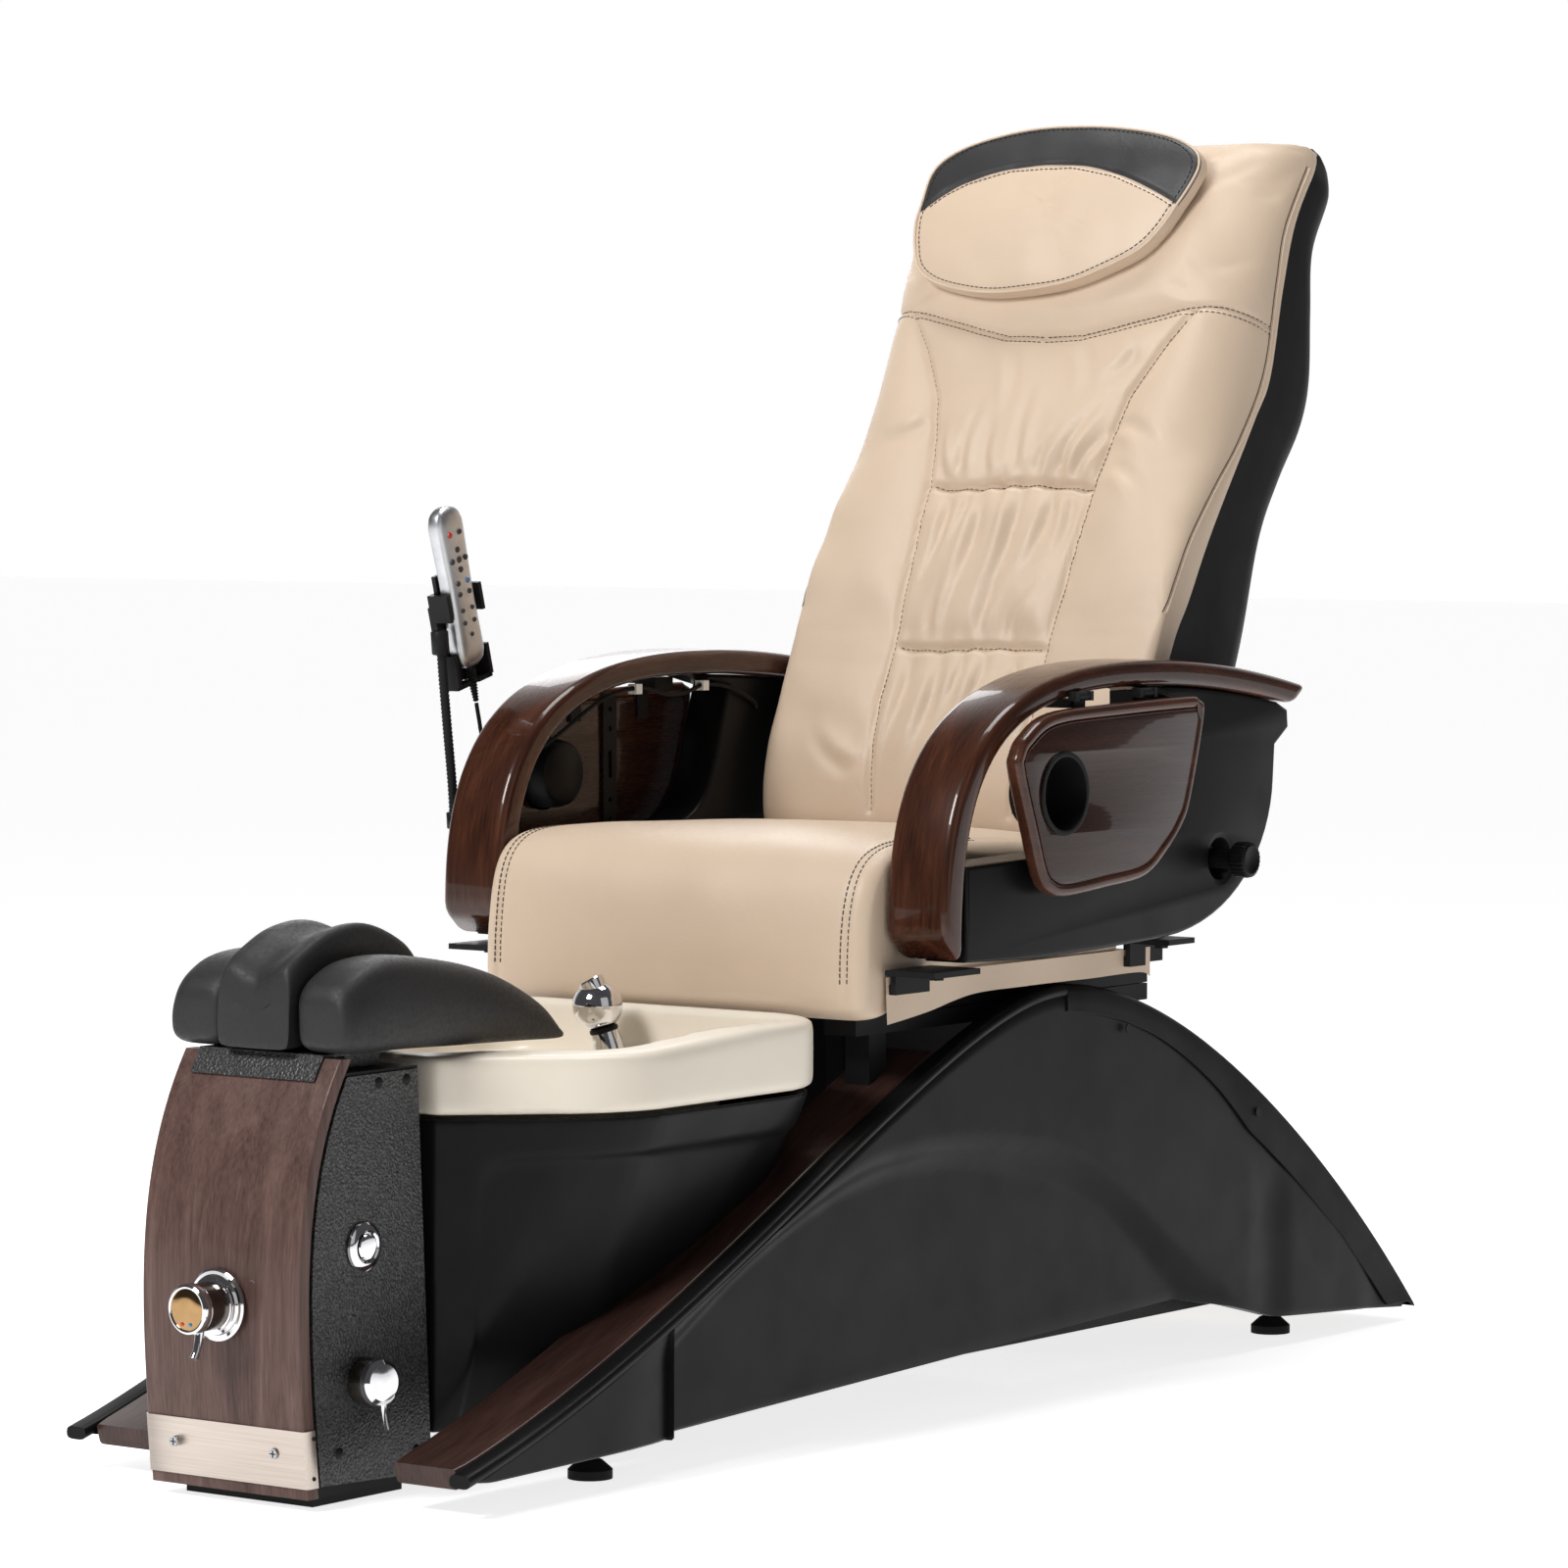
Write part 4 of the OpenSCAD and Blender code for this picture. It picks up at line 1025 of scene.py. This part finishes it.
def inset_line(line, d):
    """A closed [y, z] line moved inwards by d."""
    line = np.array(line)
    t = np.roll(line, -1, axis=0) - np.roll(line, 1, axis=0)
    t /= np.linalg.norm(t, axis=1)[:, None]
    side = np.stack([-t[:, 1], t[:, 0]], axis=1)
    y, z = line[:, 0], line[:, 1]
    turn = np.sum(y * np.roll(z, -1) - np.roll(y, -1) * z)
    return [tuple(p) for p in line + side * d * (1 if turn > 0 else -1)]


def tray(m):
    rim = even(spline(TRAY, 6, closed=True) + [TRAY[0]], 5)[:-1]
    inner = inset_line(rim, 14)
    hole = circle(CUP_Y, CUP_Z, 40.5)
    frame_mesh = plate(rim, [inset_line(rim, 13.2)], 334, 352, 5.5, 5)
    edge = finish_piece("tray_left_edge", frame_mesh, m["tray_edge"], "left_tray", 40, "walnut",
                        ["tray_left"])
    panel_mesh = plate(inner, [hole], 334.6, 351.6, 0.7, 2)
    panel = finish_piece("tray_left_panel", panel_mesh, m["tray_wood"], "left_tray", 40, "walnut")
    mirror(edge)
    mirror(panel)
    fillet = plate(inset_line(rim, 12.9), [inset_line(rim, 14.3)], 335, 351.2, 0.1, 1)
    line = finish_piece("tray_left_inlay", fillet, m["tray_edge"], "left_tray", 40)
    mirror(line)
    cup = lathe([(-31, 0), (-31, 30), (-28, 34.5), (-20, 37), (15, 38.5), (17.6, 38.9),
                 (18.2, 43.5), (19.6, 43), (20, 40.5), (19.6, 38), (17, 37.2), (-18, 35.2),
                 (-26, 32), (-28, 27), (-28.5, 0)], point(334, CUP_Y, CUP_Z), (1, 0, 0), 64)
    ob = add("cup_insert_left_liner", *cup, m["soft_black"], "left_tray", 35, "black_abs",
             ["cup_insert_left"])
    mirror(ob)


def arm_shell(m):
    under = []
    for t in np.linspace(0.55, 1, 14):
        under.append(tuple(arm_line(float(t))[1] - np.array([0, 0.9])))
    outline = [(-90, 479), (40, 475), (156, 477)]
    outline += [tuple(p) for p in bez_line([[280, 482], [420, 490], [488, 570], [492, 640]], 16)]
    outline += [(495, 678), (510, 688), (522, 696), (520, 716)] + under[::-1][1:] + [(290, 735)]
    outline += [tuple(p) for p in bez_line([[275, 690], [255, 610], [235, 590], [181, 586]], 12)]
    outline += [(40, 580), (-90, 577)]
    hole = circle(KNOB_Y, KNOB_Z, 24)
    mesh = plate(outline, [hole], 268, ARM_FACE, 5, 3)
    shell = finish_piece("arm_shell_left_cover", mesh, m["shell"], "seat", 40, "black_abs",
                         ["arm_shell_left"])
    mirror(shell)
    dish = lathe([(-22, 0), (-22, 13), (-20, 17), (-10, 20), (-2, 23), (-0.6, 27), (-0.4, 29),
                  (-3, 29), (-6, 25), (-24, 22), (-26, 0)],
                 point(ARM_FACE, KNOB_Y, KNOB_Z), (1, 0, 0), 64)
    ob = add("knob_dish_left", *dish, m["soft_black"], "seat", 35, "black_abs")
    mirror(ob)
    rings = []
    for a, r in ((-24, 10), (2, 10.5), (20, 11), (20, 17), (22, 19), (34, 19.4), (38, 18.4),
                 (39.5, 15), (37.5, 12), (37, 0.1)):
        ring = []
        for q in turns(96):
            out = r - (0.9 * max(0.0, math.cos(q * 24)) if 18 < r < 19.6 else 0)
            ring.append(point(ARM_FACE + a, KNOB_Y + out * math.cos(q), KNOB_Z + out * math.sin(q)))
        rings.append(ring)
    add("arm_knob_grip", *loft(rings), m["soft_black"], "side_knob", 35, "black_rubber",
        ["arm_knob"])


# ------------------------------------------------------------------ base
RISE = [[-800, 44], [-400, 150], [-10, 440], [190, 434]]
FALL = [[190, 434], [400, 434], [700, 235], [910, 14]]
PEDESTAL = [[-848, 12], [-866, 190], [-874, 310], [-798, 424]]


def crest(y):
    """Height of the base's top line."""
    return float(np.interp(y, *CREST.T))


CREST = np.array(bez_line(RISE, 80) + bez_line(FALL, 80)[1:])
OUTER_ARC = along([(-487, 140), (-476, 153), (-338, 215), (-185, 276), (-83, 290), (21, 288),
                   (165, 267), (277, 222), (392, 147), (484, 94), (537, 67), (700, 40)])
INNER_ARC = along([(-487, 105), (-449, 130), (-343, 189), (-234, 230), (-145, 251), (-53, 259),
                   (63, 252), (184, 226), (284, 185), (360, 135), (412, 94), (480, 60),
                   (700, 20)])
LOW = np.array([(-790, 36), (-764, 33), (-487, 37), (-480, 40), (0, 57), (430, 72), (520, 56),
                (612, 34), (800, 22), (882, 15)])


def base_side(y, z):
    """Outward reach of the moulded side at a place on it."""
    hi, lo = float(OUTER_ARC(y)), float(INNER_ARC(y))
    into = ease((hi - z) / max(hi - lo, 6.0)) if -487 < y < 560 else 0.0
    post = ease(y, -487, -482)
    tail = 1 - ease(y, 420, 545)
    x = 254.5 - 19.5 * into * post * tail
    if y < -487:
        x -= 8 * max(0.0, (y + 575) / 88) ** 2.2 * (1 - ease(z, 110, 170))
    bulge = ease(y, 590, 640) * (1 - ease(y, 770, 830)) * (1 - ease(z, 120, 250))
    dent = ease(y, 545, 590) * (1 - ease(y, 600, 640)) * (1 - ease(z, 160, 240))
    return x + 2.6 * bulge - 2.2 * dent


def base_shells(m):
    stations = sorted(list(np.arange(-786, 880, 9.0)) + [-488, -486.5, -485, -483.5, -482])
    rows = 44
    rings = []
    for y in stations:
        top = crest(y) - 9
        low = min(float(np.interp(y, *LOW.T)), top - 3)
        outer, inner = [], []
        for k in range(rows):
            z = low + (top - low) * k / (rows - 1)
            edge = min(top - z, z - low)
            soft = 3 * (1 - math.sqrt(max(0.0, 1 - (1 - min(edge, 3) / 3) ** 2)))
            x = base_side(y, z) - soft
            outer.append(point(x, y, z))
            inner.append(point(min(x - 3, 231), y, z))
        rings.append(outer + inner[::-1])
    ob = add("base_shell_left_cover", *loft(rings), m["shell"], "base", 48, "black_abs",
             ["base_shell_left"])
    mirror(ob)
    rings = []
    for y, z in bez_line(RISE, 60):
        rings.append([point(243.5 + 12.5 * power(math.cos(q), 0.6), y,
                            z - 6.5 + 6.5 * power(math.sin(q), 0.6)) for q in turns(14)])
    ob = add("base_rim_left", *loft(rings), m["soft_black"], "base", 60, "black_abs")
    mirror(ob)


def rear_cover(m):
    edge = along([(150, 409), (171, 409), (270, 395), (372, 363), (477, 305), (557, 240),
                  (570, 229), (584, 219), (598, 203), (667, 164), (751, 104), (808, 34),
                  (830, 22)])
    rings = []
    for y, z in bez_line(FALL, 70, 0.0, 0.985):
        drop = min(60.0, max(9.0, z - float(edge(y))))
        grow = ease(y, 190, 230)
        w = 256.5 + 1.6 * grow
        half = [(0, 0), (80, 0), (160, 0), (w - 16, -0.2), (w - 10, -0.9), (w - 5, -2.6),
                (w - 2, -5), (w - 0.5, -8), (w, -drop * 0.6 - 4), (w, -drop), (w - 1, -drop - 1),
                (w - 3, -drop), (w - 3, -9), (w - 12, -4.5), (120, -3.6), (0, -3.6)]
        rings.append([point(x, y, z + d) for x, d in whole(half)])
    add("rear_cover_skin", *loft(rings), m["back_abs"], "base", 40, "black_abs", ["rear_cover"])


def planks(m):
    line = np.array(bez_line(RISE, 60, 0.01, 0.72))
    rings = []
    for i, (p, n) in enumerate(zip(line, normals_2d(line))):
        tip = 3 * (1 - math.sqrt(max(0, 1 - (max(0, 2 - i) / 2) ** 2)))
        rings.append([point(x, *(p + n * up))
                      for x, up in rounded(150 + tip, 231 - tip, -22, -1, 4, 5)])
    ob = add("wood_plank_left", *loft(rings), m["plank"], "base", 50, "wood_laminate",
             ["wood_planks"])
    mirror(ob)


def band(curve_a, curve_b, w, r):
    """A strip between two [y, z] lines, across x, with rounded long edges."""
    rings = []
    for p, q in zip(curve_a, curve_b):
        thick = np.linalg.norm(q - p)
        rr = min(r, thick / 2 - 0.05)
        d = (q - p) / thick
        rings.append([point(x, *(p + d * depth))
                      for x, depth in rounded(-w, w, 0, thick, rr, 5)])
    return loft(rings)


def pedestal(m):
    outer = np.array(bez_line(PEDESTAL, 60))
    inner = outer + np.array([16.0, 0.0])
    add("pedestal_front_panel", *band(outer, inner, 99, 2.2), m["laminate"], "base", 50,
        "wood_laminate", ["pedestal_front"])
    rings = []
    for y, z in np.array(bez_line(PEDESTAL, 14, 0.02, 0.128)) - np.array([1.7, 0.0]):
        ring = [(-100.8, y + 16), (-100.8, y + 3), (-98.2, y), (98.2, y), (100.8, y + 3),
                (100.8, y + 16), (99.4, y + 16), (99.4, y + 3.2), (97.6, y + 1.4),
                (-97.6, y + 1.4), (-99.4, y + 3.2), (-99.4, y + 16)]
        rings.append([point(a, b, z) for a, b in ring])
    add("kick_plate_skin", *loft(rings), m["steel"], "base", 50, "stainless", ["kick_plate"])


def remeshed(node, name, mat, voxel, passes, slot, shape=None):
    """A smooth copy of a CAD node. shape may move its vertices, given in millimetres."""
    mesh = NODES[node].data.copy()
    mesh.materials.clear()
    ob = linked(name, mesh)
    mod = ob.modifiers.new("remesh", "REMESH")
    mod.mode = "VOXEL"
    mod.voxel_size = voxel * MM
    mod.adaptivity = 0
    soft = ob.modifiers.new("soft", "SMOOTH")
    soft.factor = 0.6
    soft.iterations = passes
    apply_modifiers(ob)
    if shape:
        set_vertices(ob.data, shape(vertex_array(ob.data) / MM) * MM)
    ob.data.materials.clear()
    ob.data.materials.append(mat)
    ob.data.shade_smooth()
    tell(ob, "base", slot, [node])


def tub_crease(co):
    """The tub's side steps in below a crease."""
    out = co.copy()
    down, behind = 316 - co[:, 2], co[:, 1] + 627
    inside = -13 * np.log(np.exp(-down / 13) + np.exp(-behind / 13))
    step = 6.5 / (1 + np.exp(-inside / 2.2))
    wide = np.abs(co[:, 0]) > 88
    out[:, 0] -= np.sign(co[:, 0]) * step * wide
    return out


# ------------------------------------------------------------------ footrest
WING = [(-807, 52, 110, 434, 476), (-804, 48, 114, 430, 488), (-790, 47, 116, 428, 500),
        (-765, 46, 118, 427, 512), (-730, 46, 118, 427, 517), (-690, 46, 118, 426, 515),
        (-640, 49, 117, 424, 508), (-600, 55, 116, 423, 500), (-560, 63, 114, 422, 488),
        (-520, 74, 111, 421, 470), (-490, 84, 108, 420, 452), (-472, 92, 104, 420, 434),
        (-466, 95, 101, 421, 428)]


def footrest(m):
    cols = list(zip(*WING))
    at = [along(list(zip(cols[0], cols[k]))) for k in (1, 2, 3, 4)]
    stations = sorted([-807, -806, -804.5, -802] + list(np.arange(-798, -470, 6.0)) + [-468, -466])
    rings = []
    for y in stations:
        x0, x1, z0, z1 = (float(f(y)) for f in at)
        cx, cz, a, b = (x0 + x1) / 2, (z0 + z1) / 2, (x1 - x0) / 2, (z1 - z0) / 2
        nose = math.sqrt(max(0.0, 1 - max(0.0, (-790 - y) / 17) ** 2)) * 0.25 + 0.75
        ring = []
        square = 0.46 + 0.2 * ease(y, -780, -560)
        for q in turns(44):
            x = cx + a * nose * power(math.cos(q), square)
            z = cz + b * nose * power(math.sin(q), square)
            lean = 10 * (z - cz) / b if b > 4 else 0
            x -= max(0.0, lean) * 0.9 * (1 if x > cx else 0.2)
            ring.append(point(x, y, z))
        rings.append(ring)
    ob = add("footrest_wing_left_pad", *loft(rings), m["padding"], "footrest", 0,
             "charcoal_leather", ["footrest_wing_left"], ride=False)
    subdivide(ob)
    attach(ob, "footrest")
    mirror(ob)
    top = along([(-814, 448), (-811, 486), (-809, 503), (-800, 514), (-785, 523), (-749, 539),
                 (-705, 545), (-669, 538), (-632, 520), (-614, 500)])
    rings = []
    for y in [-812, -811.5, -810.5, -809] + list(np.arange(-806, -616, 6.0)) + [-615, -614]:
        peak = float(top(y))
        half = []
        for k in range(15):
            x = 45 * k / 14
            ridge = ease(x, 14, 34) * (1 - ease(x, 39, 45) ** 2)
            valley = -9 * (1 - ease(x, 0, 30))
            half.append((x, peak + valley - 3 + 3 * ridge - 7 * ease(x, 38, 45)))
        base = min(430.0, peak - 12)
        half += [(45.5, (peak + base) / 2), (44, base + 3), (40, base), (0, base)]
        rings.append([point(x, y, z) for x, z in whole(half)])
    ob = add("footrest_saddle_pad", *loft(rings), m["padding"], "footrest", 0,
             "charcoal_leather", ["footrest_saddle"], ride=False)
    subdivide(ob)
    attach(ob, "footrest")


# ------------------------------------------------------------------ fittings
def mixer(m):
    place = point(0, -860, 191)
    out = (0, -1, 0)
    steps = lathe([(2, 12.2), (2, 33), (3.5, 34.5), (5.5, 34.5), (7, 32.5), (7.2, 29.5),
                   (8.5, 29), (10, 28), (10.4, 25.5), (12.3, 25), (13, 23.4), (13, 12.2)],
                  place, out, 72)
    add("mixer_escutcheon_rings", *steps, m["chrome"], "base", 30, "chrome", ["mixer_escutcheon"])
    barrel = lathe([(13.4, 12), (13.4, 22), (14, 23), (35, 23), (36, 22), (36, 12)], place, out, 72)
    add("mixer_knob_barrel", *barrel, m["dark_chrome"], "mixer_lever", 30, "dark_chrome",
        ["mixer_knob"])
    rim = lathe([(36, 19), (36, 23.4), (38, 24.4), (43, 24.4), (46, 23.6), (47.5, 21.5),
                 (47, 20), (44, 19)], place, out, 72)
    add("mixer_cap_rim", *rim, m["chrome"], "mixer_lever", 30, "dark_chrome")
    cap = lathe([(38, 0), (40, 19.4), (46.3, 20.3), (47.2, 18), (47.9, 10), (48.1, 0)],
                place, out, 72)
    add("mixer_cap", *cap, m["bronze"], "mixer_lever", 30, "dark_chrome")
    for name, x, mat in (("mixer_hot_dot", -5, m["red_key"]), ("mixer_cold_dot", 5, m["blue_key"])):
        dot = lathe([(46, 0), (46, 1.9), (48.2, 1.9), (48.5, 1.2), (48.6, 0)],
                    point(x, -860, 177), out, 20)
        add(name, *dot, mat, "mixer_lever", 30)
    run = [point(0, -888, 170), point(0, -890, 160), point(0, -893, 150), point(0, -897, 143)]
    add("mixer_handle", *tube(run, [5, 4.2, 3.8, 4.4], 20), m["chrome"], "mixer_lever", 50,
        "dark_chrome")


def side_controls(m):
    out = (1, 0, 0)
    place = point(99, -768, 244)
    bezel = lathe([(0.4, 13.4), (0.4, 23), (1.6, 24), (4, 23.2), (6, 20), (6.6, 16), (5.4, 14),
                   (1, 13.4)], place, out, 64)
    add("button_bezel_ring", *bezel, m["chrome"], "base", 30, "chrome", ["button_bezel"])
    cap = lathe([(-3, 0), (-3, 12.6), (5.8, 12.6), (7.2, 11.6), (7.8, 8), (8, 0)], place, out, 64)
    add("air_button_cap", *cap, m["chrome"], "button", 30, "chrome", ["air_button"])
    place = point(99, -769, 116)
    barrel = lathe([(-14, 0), (-14, 7.8), (0.4, 7.8), (0.4, 22.5), (2, 23), (18, 22), (20, 21),
                    (20, 0)], place, out, 64)
    add("diverter_barrel", *barrel, m["dark_chrome"], "diverter", 30, "dark_chrome",
        ["diverter_knob"])
    cap = lathe([(20, 0), (20, 21.5), (22, 22.6), (28, 21.6), (31.4, 17.5), (32, 9), (32.2, 0)],
                place, (1, -0.16, 0.05), 64)
    add("diverter_cap", *cap, m["chrome"], "diverter", 30, "dark_chrome")
    run = [point(124, -769, 100), point(125, -769, 90), point(127, -769, 80), point(129, -769, 72)]
    add("diverter_handle", *tube(run, [4, 3.6, 3.4, 4], 20), m["chrome"], "diverter", 50)


def sprayer(m):
    place = point(-15, -240, 368)
    collar = lathe([(-20, 13.4), (-20, 16.8), (0, 16.8), (0.4, 23), (3, 24), (6, 22.4), (9, 17.6),
                    (9.6, 15.5), (8.4, 13.4)], place, (0, 0, 1), 56)
    add("sprayer_collar_ring", *collar, m["chrome"], "base", 30, "chrome", ["sprayer_collar"])
    tilt = (-0.22, -0.16, 1)
    stem = lathe([(-16, 0), (-16, 12.6), (8, 12.6), (10, 16.4), (24, 15.6), (34, 14),
                  (36, 13.4), (36, 0)], place, tilt, 56)
    add("sprayer_stem", *stem, m["chrome"], "hand_shower", 30, "chrome", ["sprayer_head"])
    ring = lathe([(35, 0), (35, 14.2), (36.2, 15), (39, 15), (40, 14), (40, 0)], place, tilt, 56)
    add("sprayer_ring", *ring, m["soft_black"], "hand_shower", 30, "dark_chrome")
    ball = [(37 + 26 * (1 - math.cos(math.pi * k / 20)), 26 * math.sin(math.pi * k / 20))
            for k in range(3, 20)]
    add("sprayer_ball", *lathe([(38, 0), *ball, (89, 0)], place, tilt, 56), m["chrome"],
        "hand_shower", 30, "chrome")
    face = lathe([(-8, 0), (-8, 12), (1, 13.6), (5, 13.8), (6.6, 12.4), (7, 0)],
                 point(-29, -256, 450), (-0.45, -0.2, 0.87), 48)
    add("sprayer_face", *face, m["chrome"], "hand_shower", 30, "chrome")


def remote(m):
    rings = []
    for z in list(np.linspace(-84, -74, 6)) + list(np.linspace(-66, 78, 24)) + list(
            np.linspace(86, 96, 6)):
        over = max(0.0, abs(z - 6) - 66) / 24.2
        w = 21 * math.sqrt(max(0.02, 1 - over ** 2.4)) * (1 - 0.06 * math.cos(z / 30))
        d = 11 * math.sqrt(max(0.06, 1 - over ** 3.2))
        rings.append([remote_point(d * power(math.cos(q), 0.5), w * power(math.sin(q), 0.7), z)
                      for q in turns(40)])
    add("remote_body_case", *loft(rings), m["silver"], "seat", 40, "silver_plastic",
        ["remote_body"])
    relief = []
    for k in range(13):
        z = -82 - 3.2 * k
        relief += [remote_point(0, 0, z), remote_point(0, 0, z - 1.6)]
    radii = [v for k in range(13) for v in (6.6 - 0.26 * k, 5.0 - 0.24 * k)]
    add("remote_strain_relief", *tube(relief, radii, 20), m["rubber"], "seat", 30)
    keys = [(-8, 66, 3.5, "red_key"), (8, 66, 3.5, "dark_key"), (0, 48, 3.5, "dark_key"),
            (0, 26, 3.5, "dark_key"), (-11, 37, 3.5, "dark_key"), (11, 37, 3.5, "dark_key"),
            (0, 37, 4, "dark_key")]
    keys += [(y, z, 3.2, "blue_key" if y > 0 and z > 0 else "dark_key")
             for y in (-8, 8) for z in (12, 0)]
    keys += [(y, z, 2.8, "dark_key") for y in (-8, 8) for z in (-18, -32)]
    keys += [(0, -46, 2.8, "dark_key")]
    out = remote_point(1, 0, 0) - remote_point(0, 0, 0)
    first = True
    for mat in ("dark_key", "red_key", "blue_key"):
        parts = [lathe([(-1, 0), (-1, r), (1.6, r), (2.6, r * 0.8), (2.9, 0)],
                       remote_point(9.6, y, z), out, 20) for y, z, r, kind in keys if kind == mat]
        add("remote_keys_" + mat, *merged(parts), m[mat], "handset_keys", 40, "key_plastic",
            ["remote_keys"] if first else [])
        first = False


def mast(m):
    """Flexible ribbed stem that holds the handset's cradle, with its two clamps."""
    line = [point(*p) for p in even(spline([(-341, -102, 596), (-344, -102, 640), (-348, -105, 700),
                                            (-350, -110, 760), (-350, -114, 800)], 10), 2.2)]
    radii = [5.4 if k % 2 else 4.5 for k in range(len(line))]
    stem = tube(line, radii, 20)
    foot = lathe([(0, 0), (0, 8), (1.5, 9.5), (12, 9.5), (14, 8), (14, 0)],
                 point(-330.5, -102, 600), (-1, 0, 0), 40)
    collar = lathe([(0, 0), (0, 7), (1, 8), (17, 8), (18, 7), (18, 0)], point(-341, -102, 592),
                   (-0.06, 0, 1), 40)
    clamp = lathe([(0, 0), (0, 8.4), (1.2, 9.6), (24, 9.6), (25.5, 8.4), (25.5, 0)],
                  point(-350, -113, 779), (0, -0.1, 1), 40)
    add("remote_mast_stem", *merged([stem, foot, collar, clamp]), m["powder"], "seat", 50,
        "black_steel", ["remote_mast"])


def painted_shade_screw_slots(m):
    """Dark raised cords across the kick plate's two screws: painted shade that stands in for their
    recessed cross slots.
    """
    parts = []
    for x in (-63, 63):
        y, z = -857.5, 54
        for dx, dz in ((3.4, 0), (0, 3.4)):
            a, b = point(x - dx, y, z - dz), point(x + dx, y, z + dz)
            parts.append(tube([a, (a + b) / 2, b], 0.55, 6))
    # the near-black powder coat on these crosses is painted shade of the screw slots
    add("kick_plate_slot_shade_crosses", *merged(parts), m["powder"], "base", 50)


# ------------------------------------------------------------------ CAD parts kept as they are
def paint_nodes(m):
    finish = {
        "powder": ["base_frame", "seat_frame", "back_frame", "arm_brackets",
                   "remote_cradle", "tray_bracket_left", "tray_bracket_right"],
        "abs": ["pedestal_carcass"],
        "vinyl": ["side_panels", "footrest_base_plate"],
        "plain_steel": ["panel_fasteners", "actuator_rod"],
        "rubber": ["foot_front_left", "foot_front_right", "foot_rear_left", "foot_rear_right",
                   "remote_cable"],
        "white": ["jet_pump", "cable_clips", "massage_rollers"],
        "chrome": ["drain_fitting"],
        "brass": ["mixer_valve", "inlet_fittings"],
        "grey": ["massage_carriage", "recline_actuator"],
    }
    for key, names in finish.items():
        for name in names:
            mesh = NODES[name].data
            mesh.materials.clear()
            mesh.materials.append(m[key])


def paint_fasteners(m):
    """Nickel screws on the kick plate, black rivets and screws on the sides."""
    mesh = NODES["panel_fasteners"].data
    mesh.materials.append(m["powder"])
    for face in mesh.polygons:
        face.material_index = 1 if abs(face.center.x) > 0.09 else 0


def soften_edges():
    """A small round on the hard edges of the CAD parts that stay."""
    for name, ob in NODES.items():
        if ob.hide_render or name in ("remote_cable", "massage_rollers"):
            continue
        mod = ob.modifiers.new("edge", "BEVEL")
        mod.width = 0.0006
        mod.segments = 2
        mod.limit_method = "ANGLE"
        mod.angle_limit = math.radians(40)
        mod.harden_normals = True


camera()
m = materials()
studio()
back_cushion(m)
head_pillow(m)
back_shell(m)
seat_cushion(m)
arm(m)
tray(m)
arm_shell(m)
base_shells(m)
rear_cover(m)
planks(m)
pedestal(m)
remeshed("basin", "basin_bowl", m["cream"], 3.6, 26, "cream_acrylic")
remeshed("tub_shell", "tub_shell_skin", m["soft_black"], 3.0, 8, "black_abs", tub_crease)
footrest(m)
mixer(m)
side_controls(m)
sprayer(m)
remote(m)
mast(m)
painted_shade_screw_slots(m)
paint_nodes(m)
paint_fasteners(m)
soften_edges()
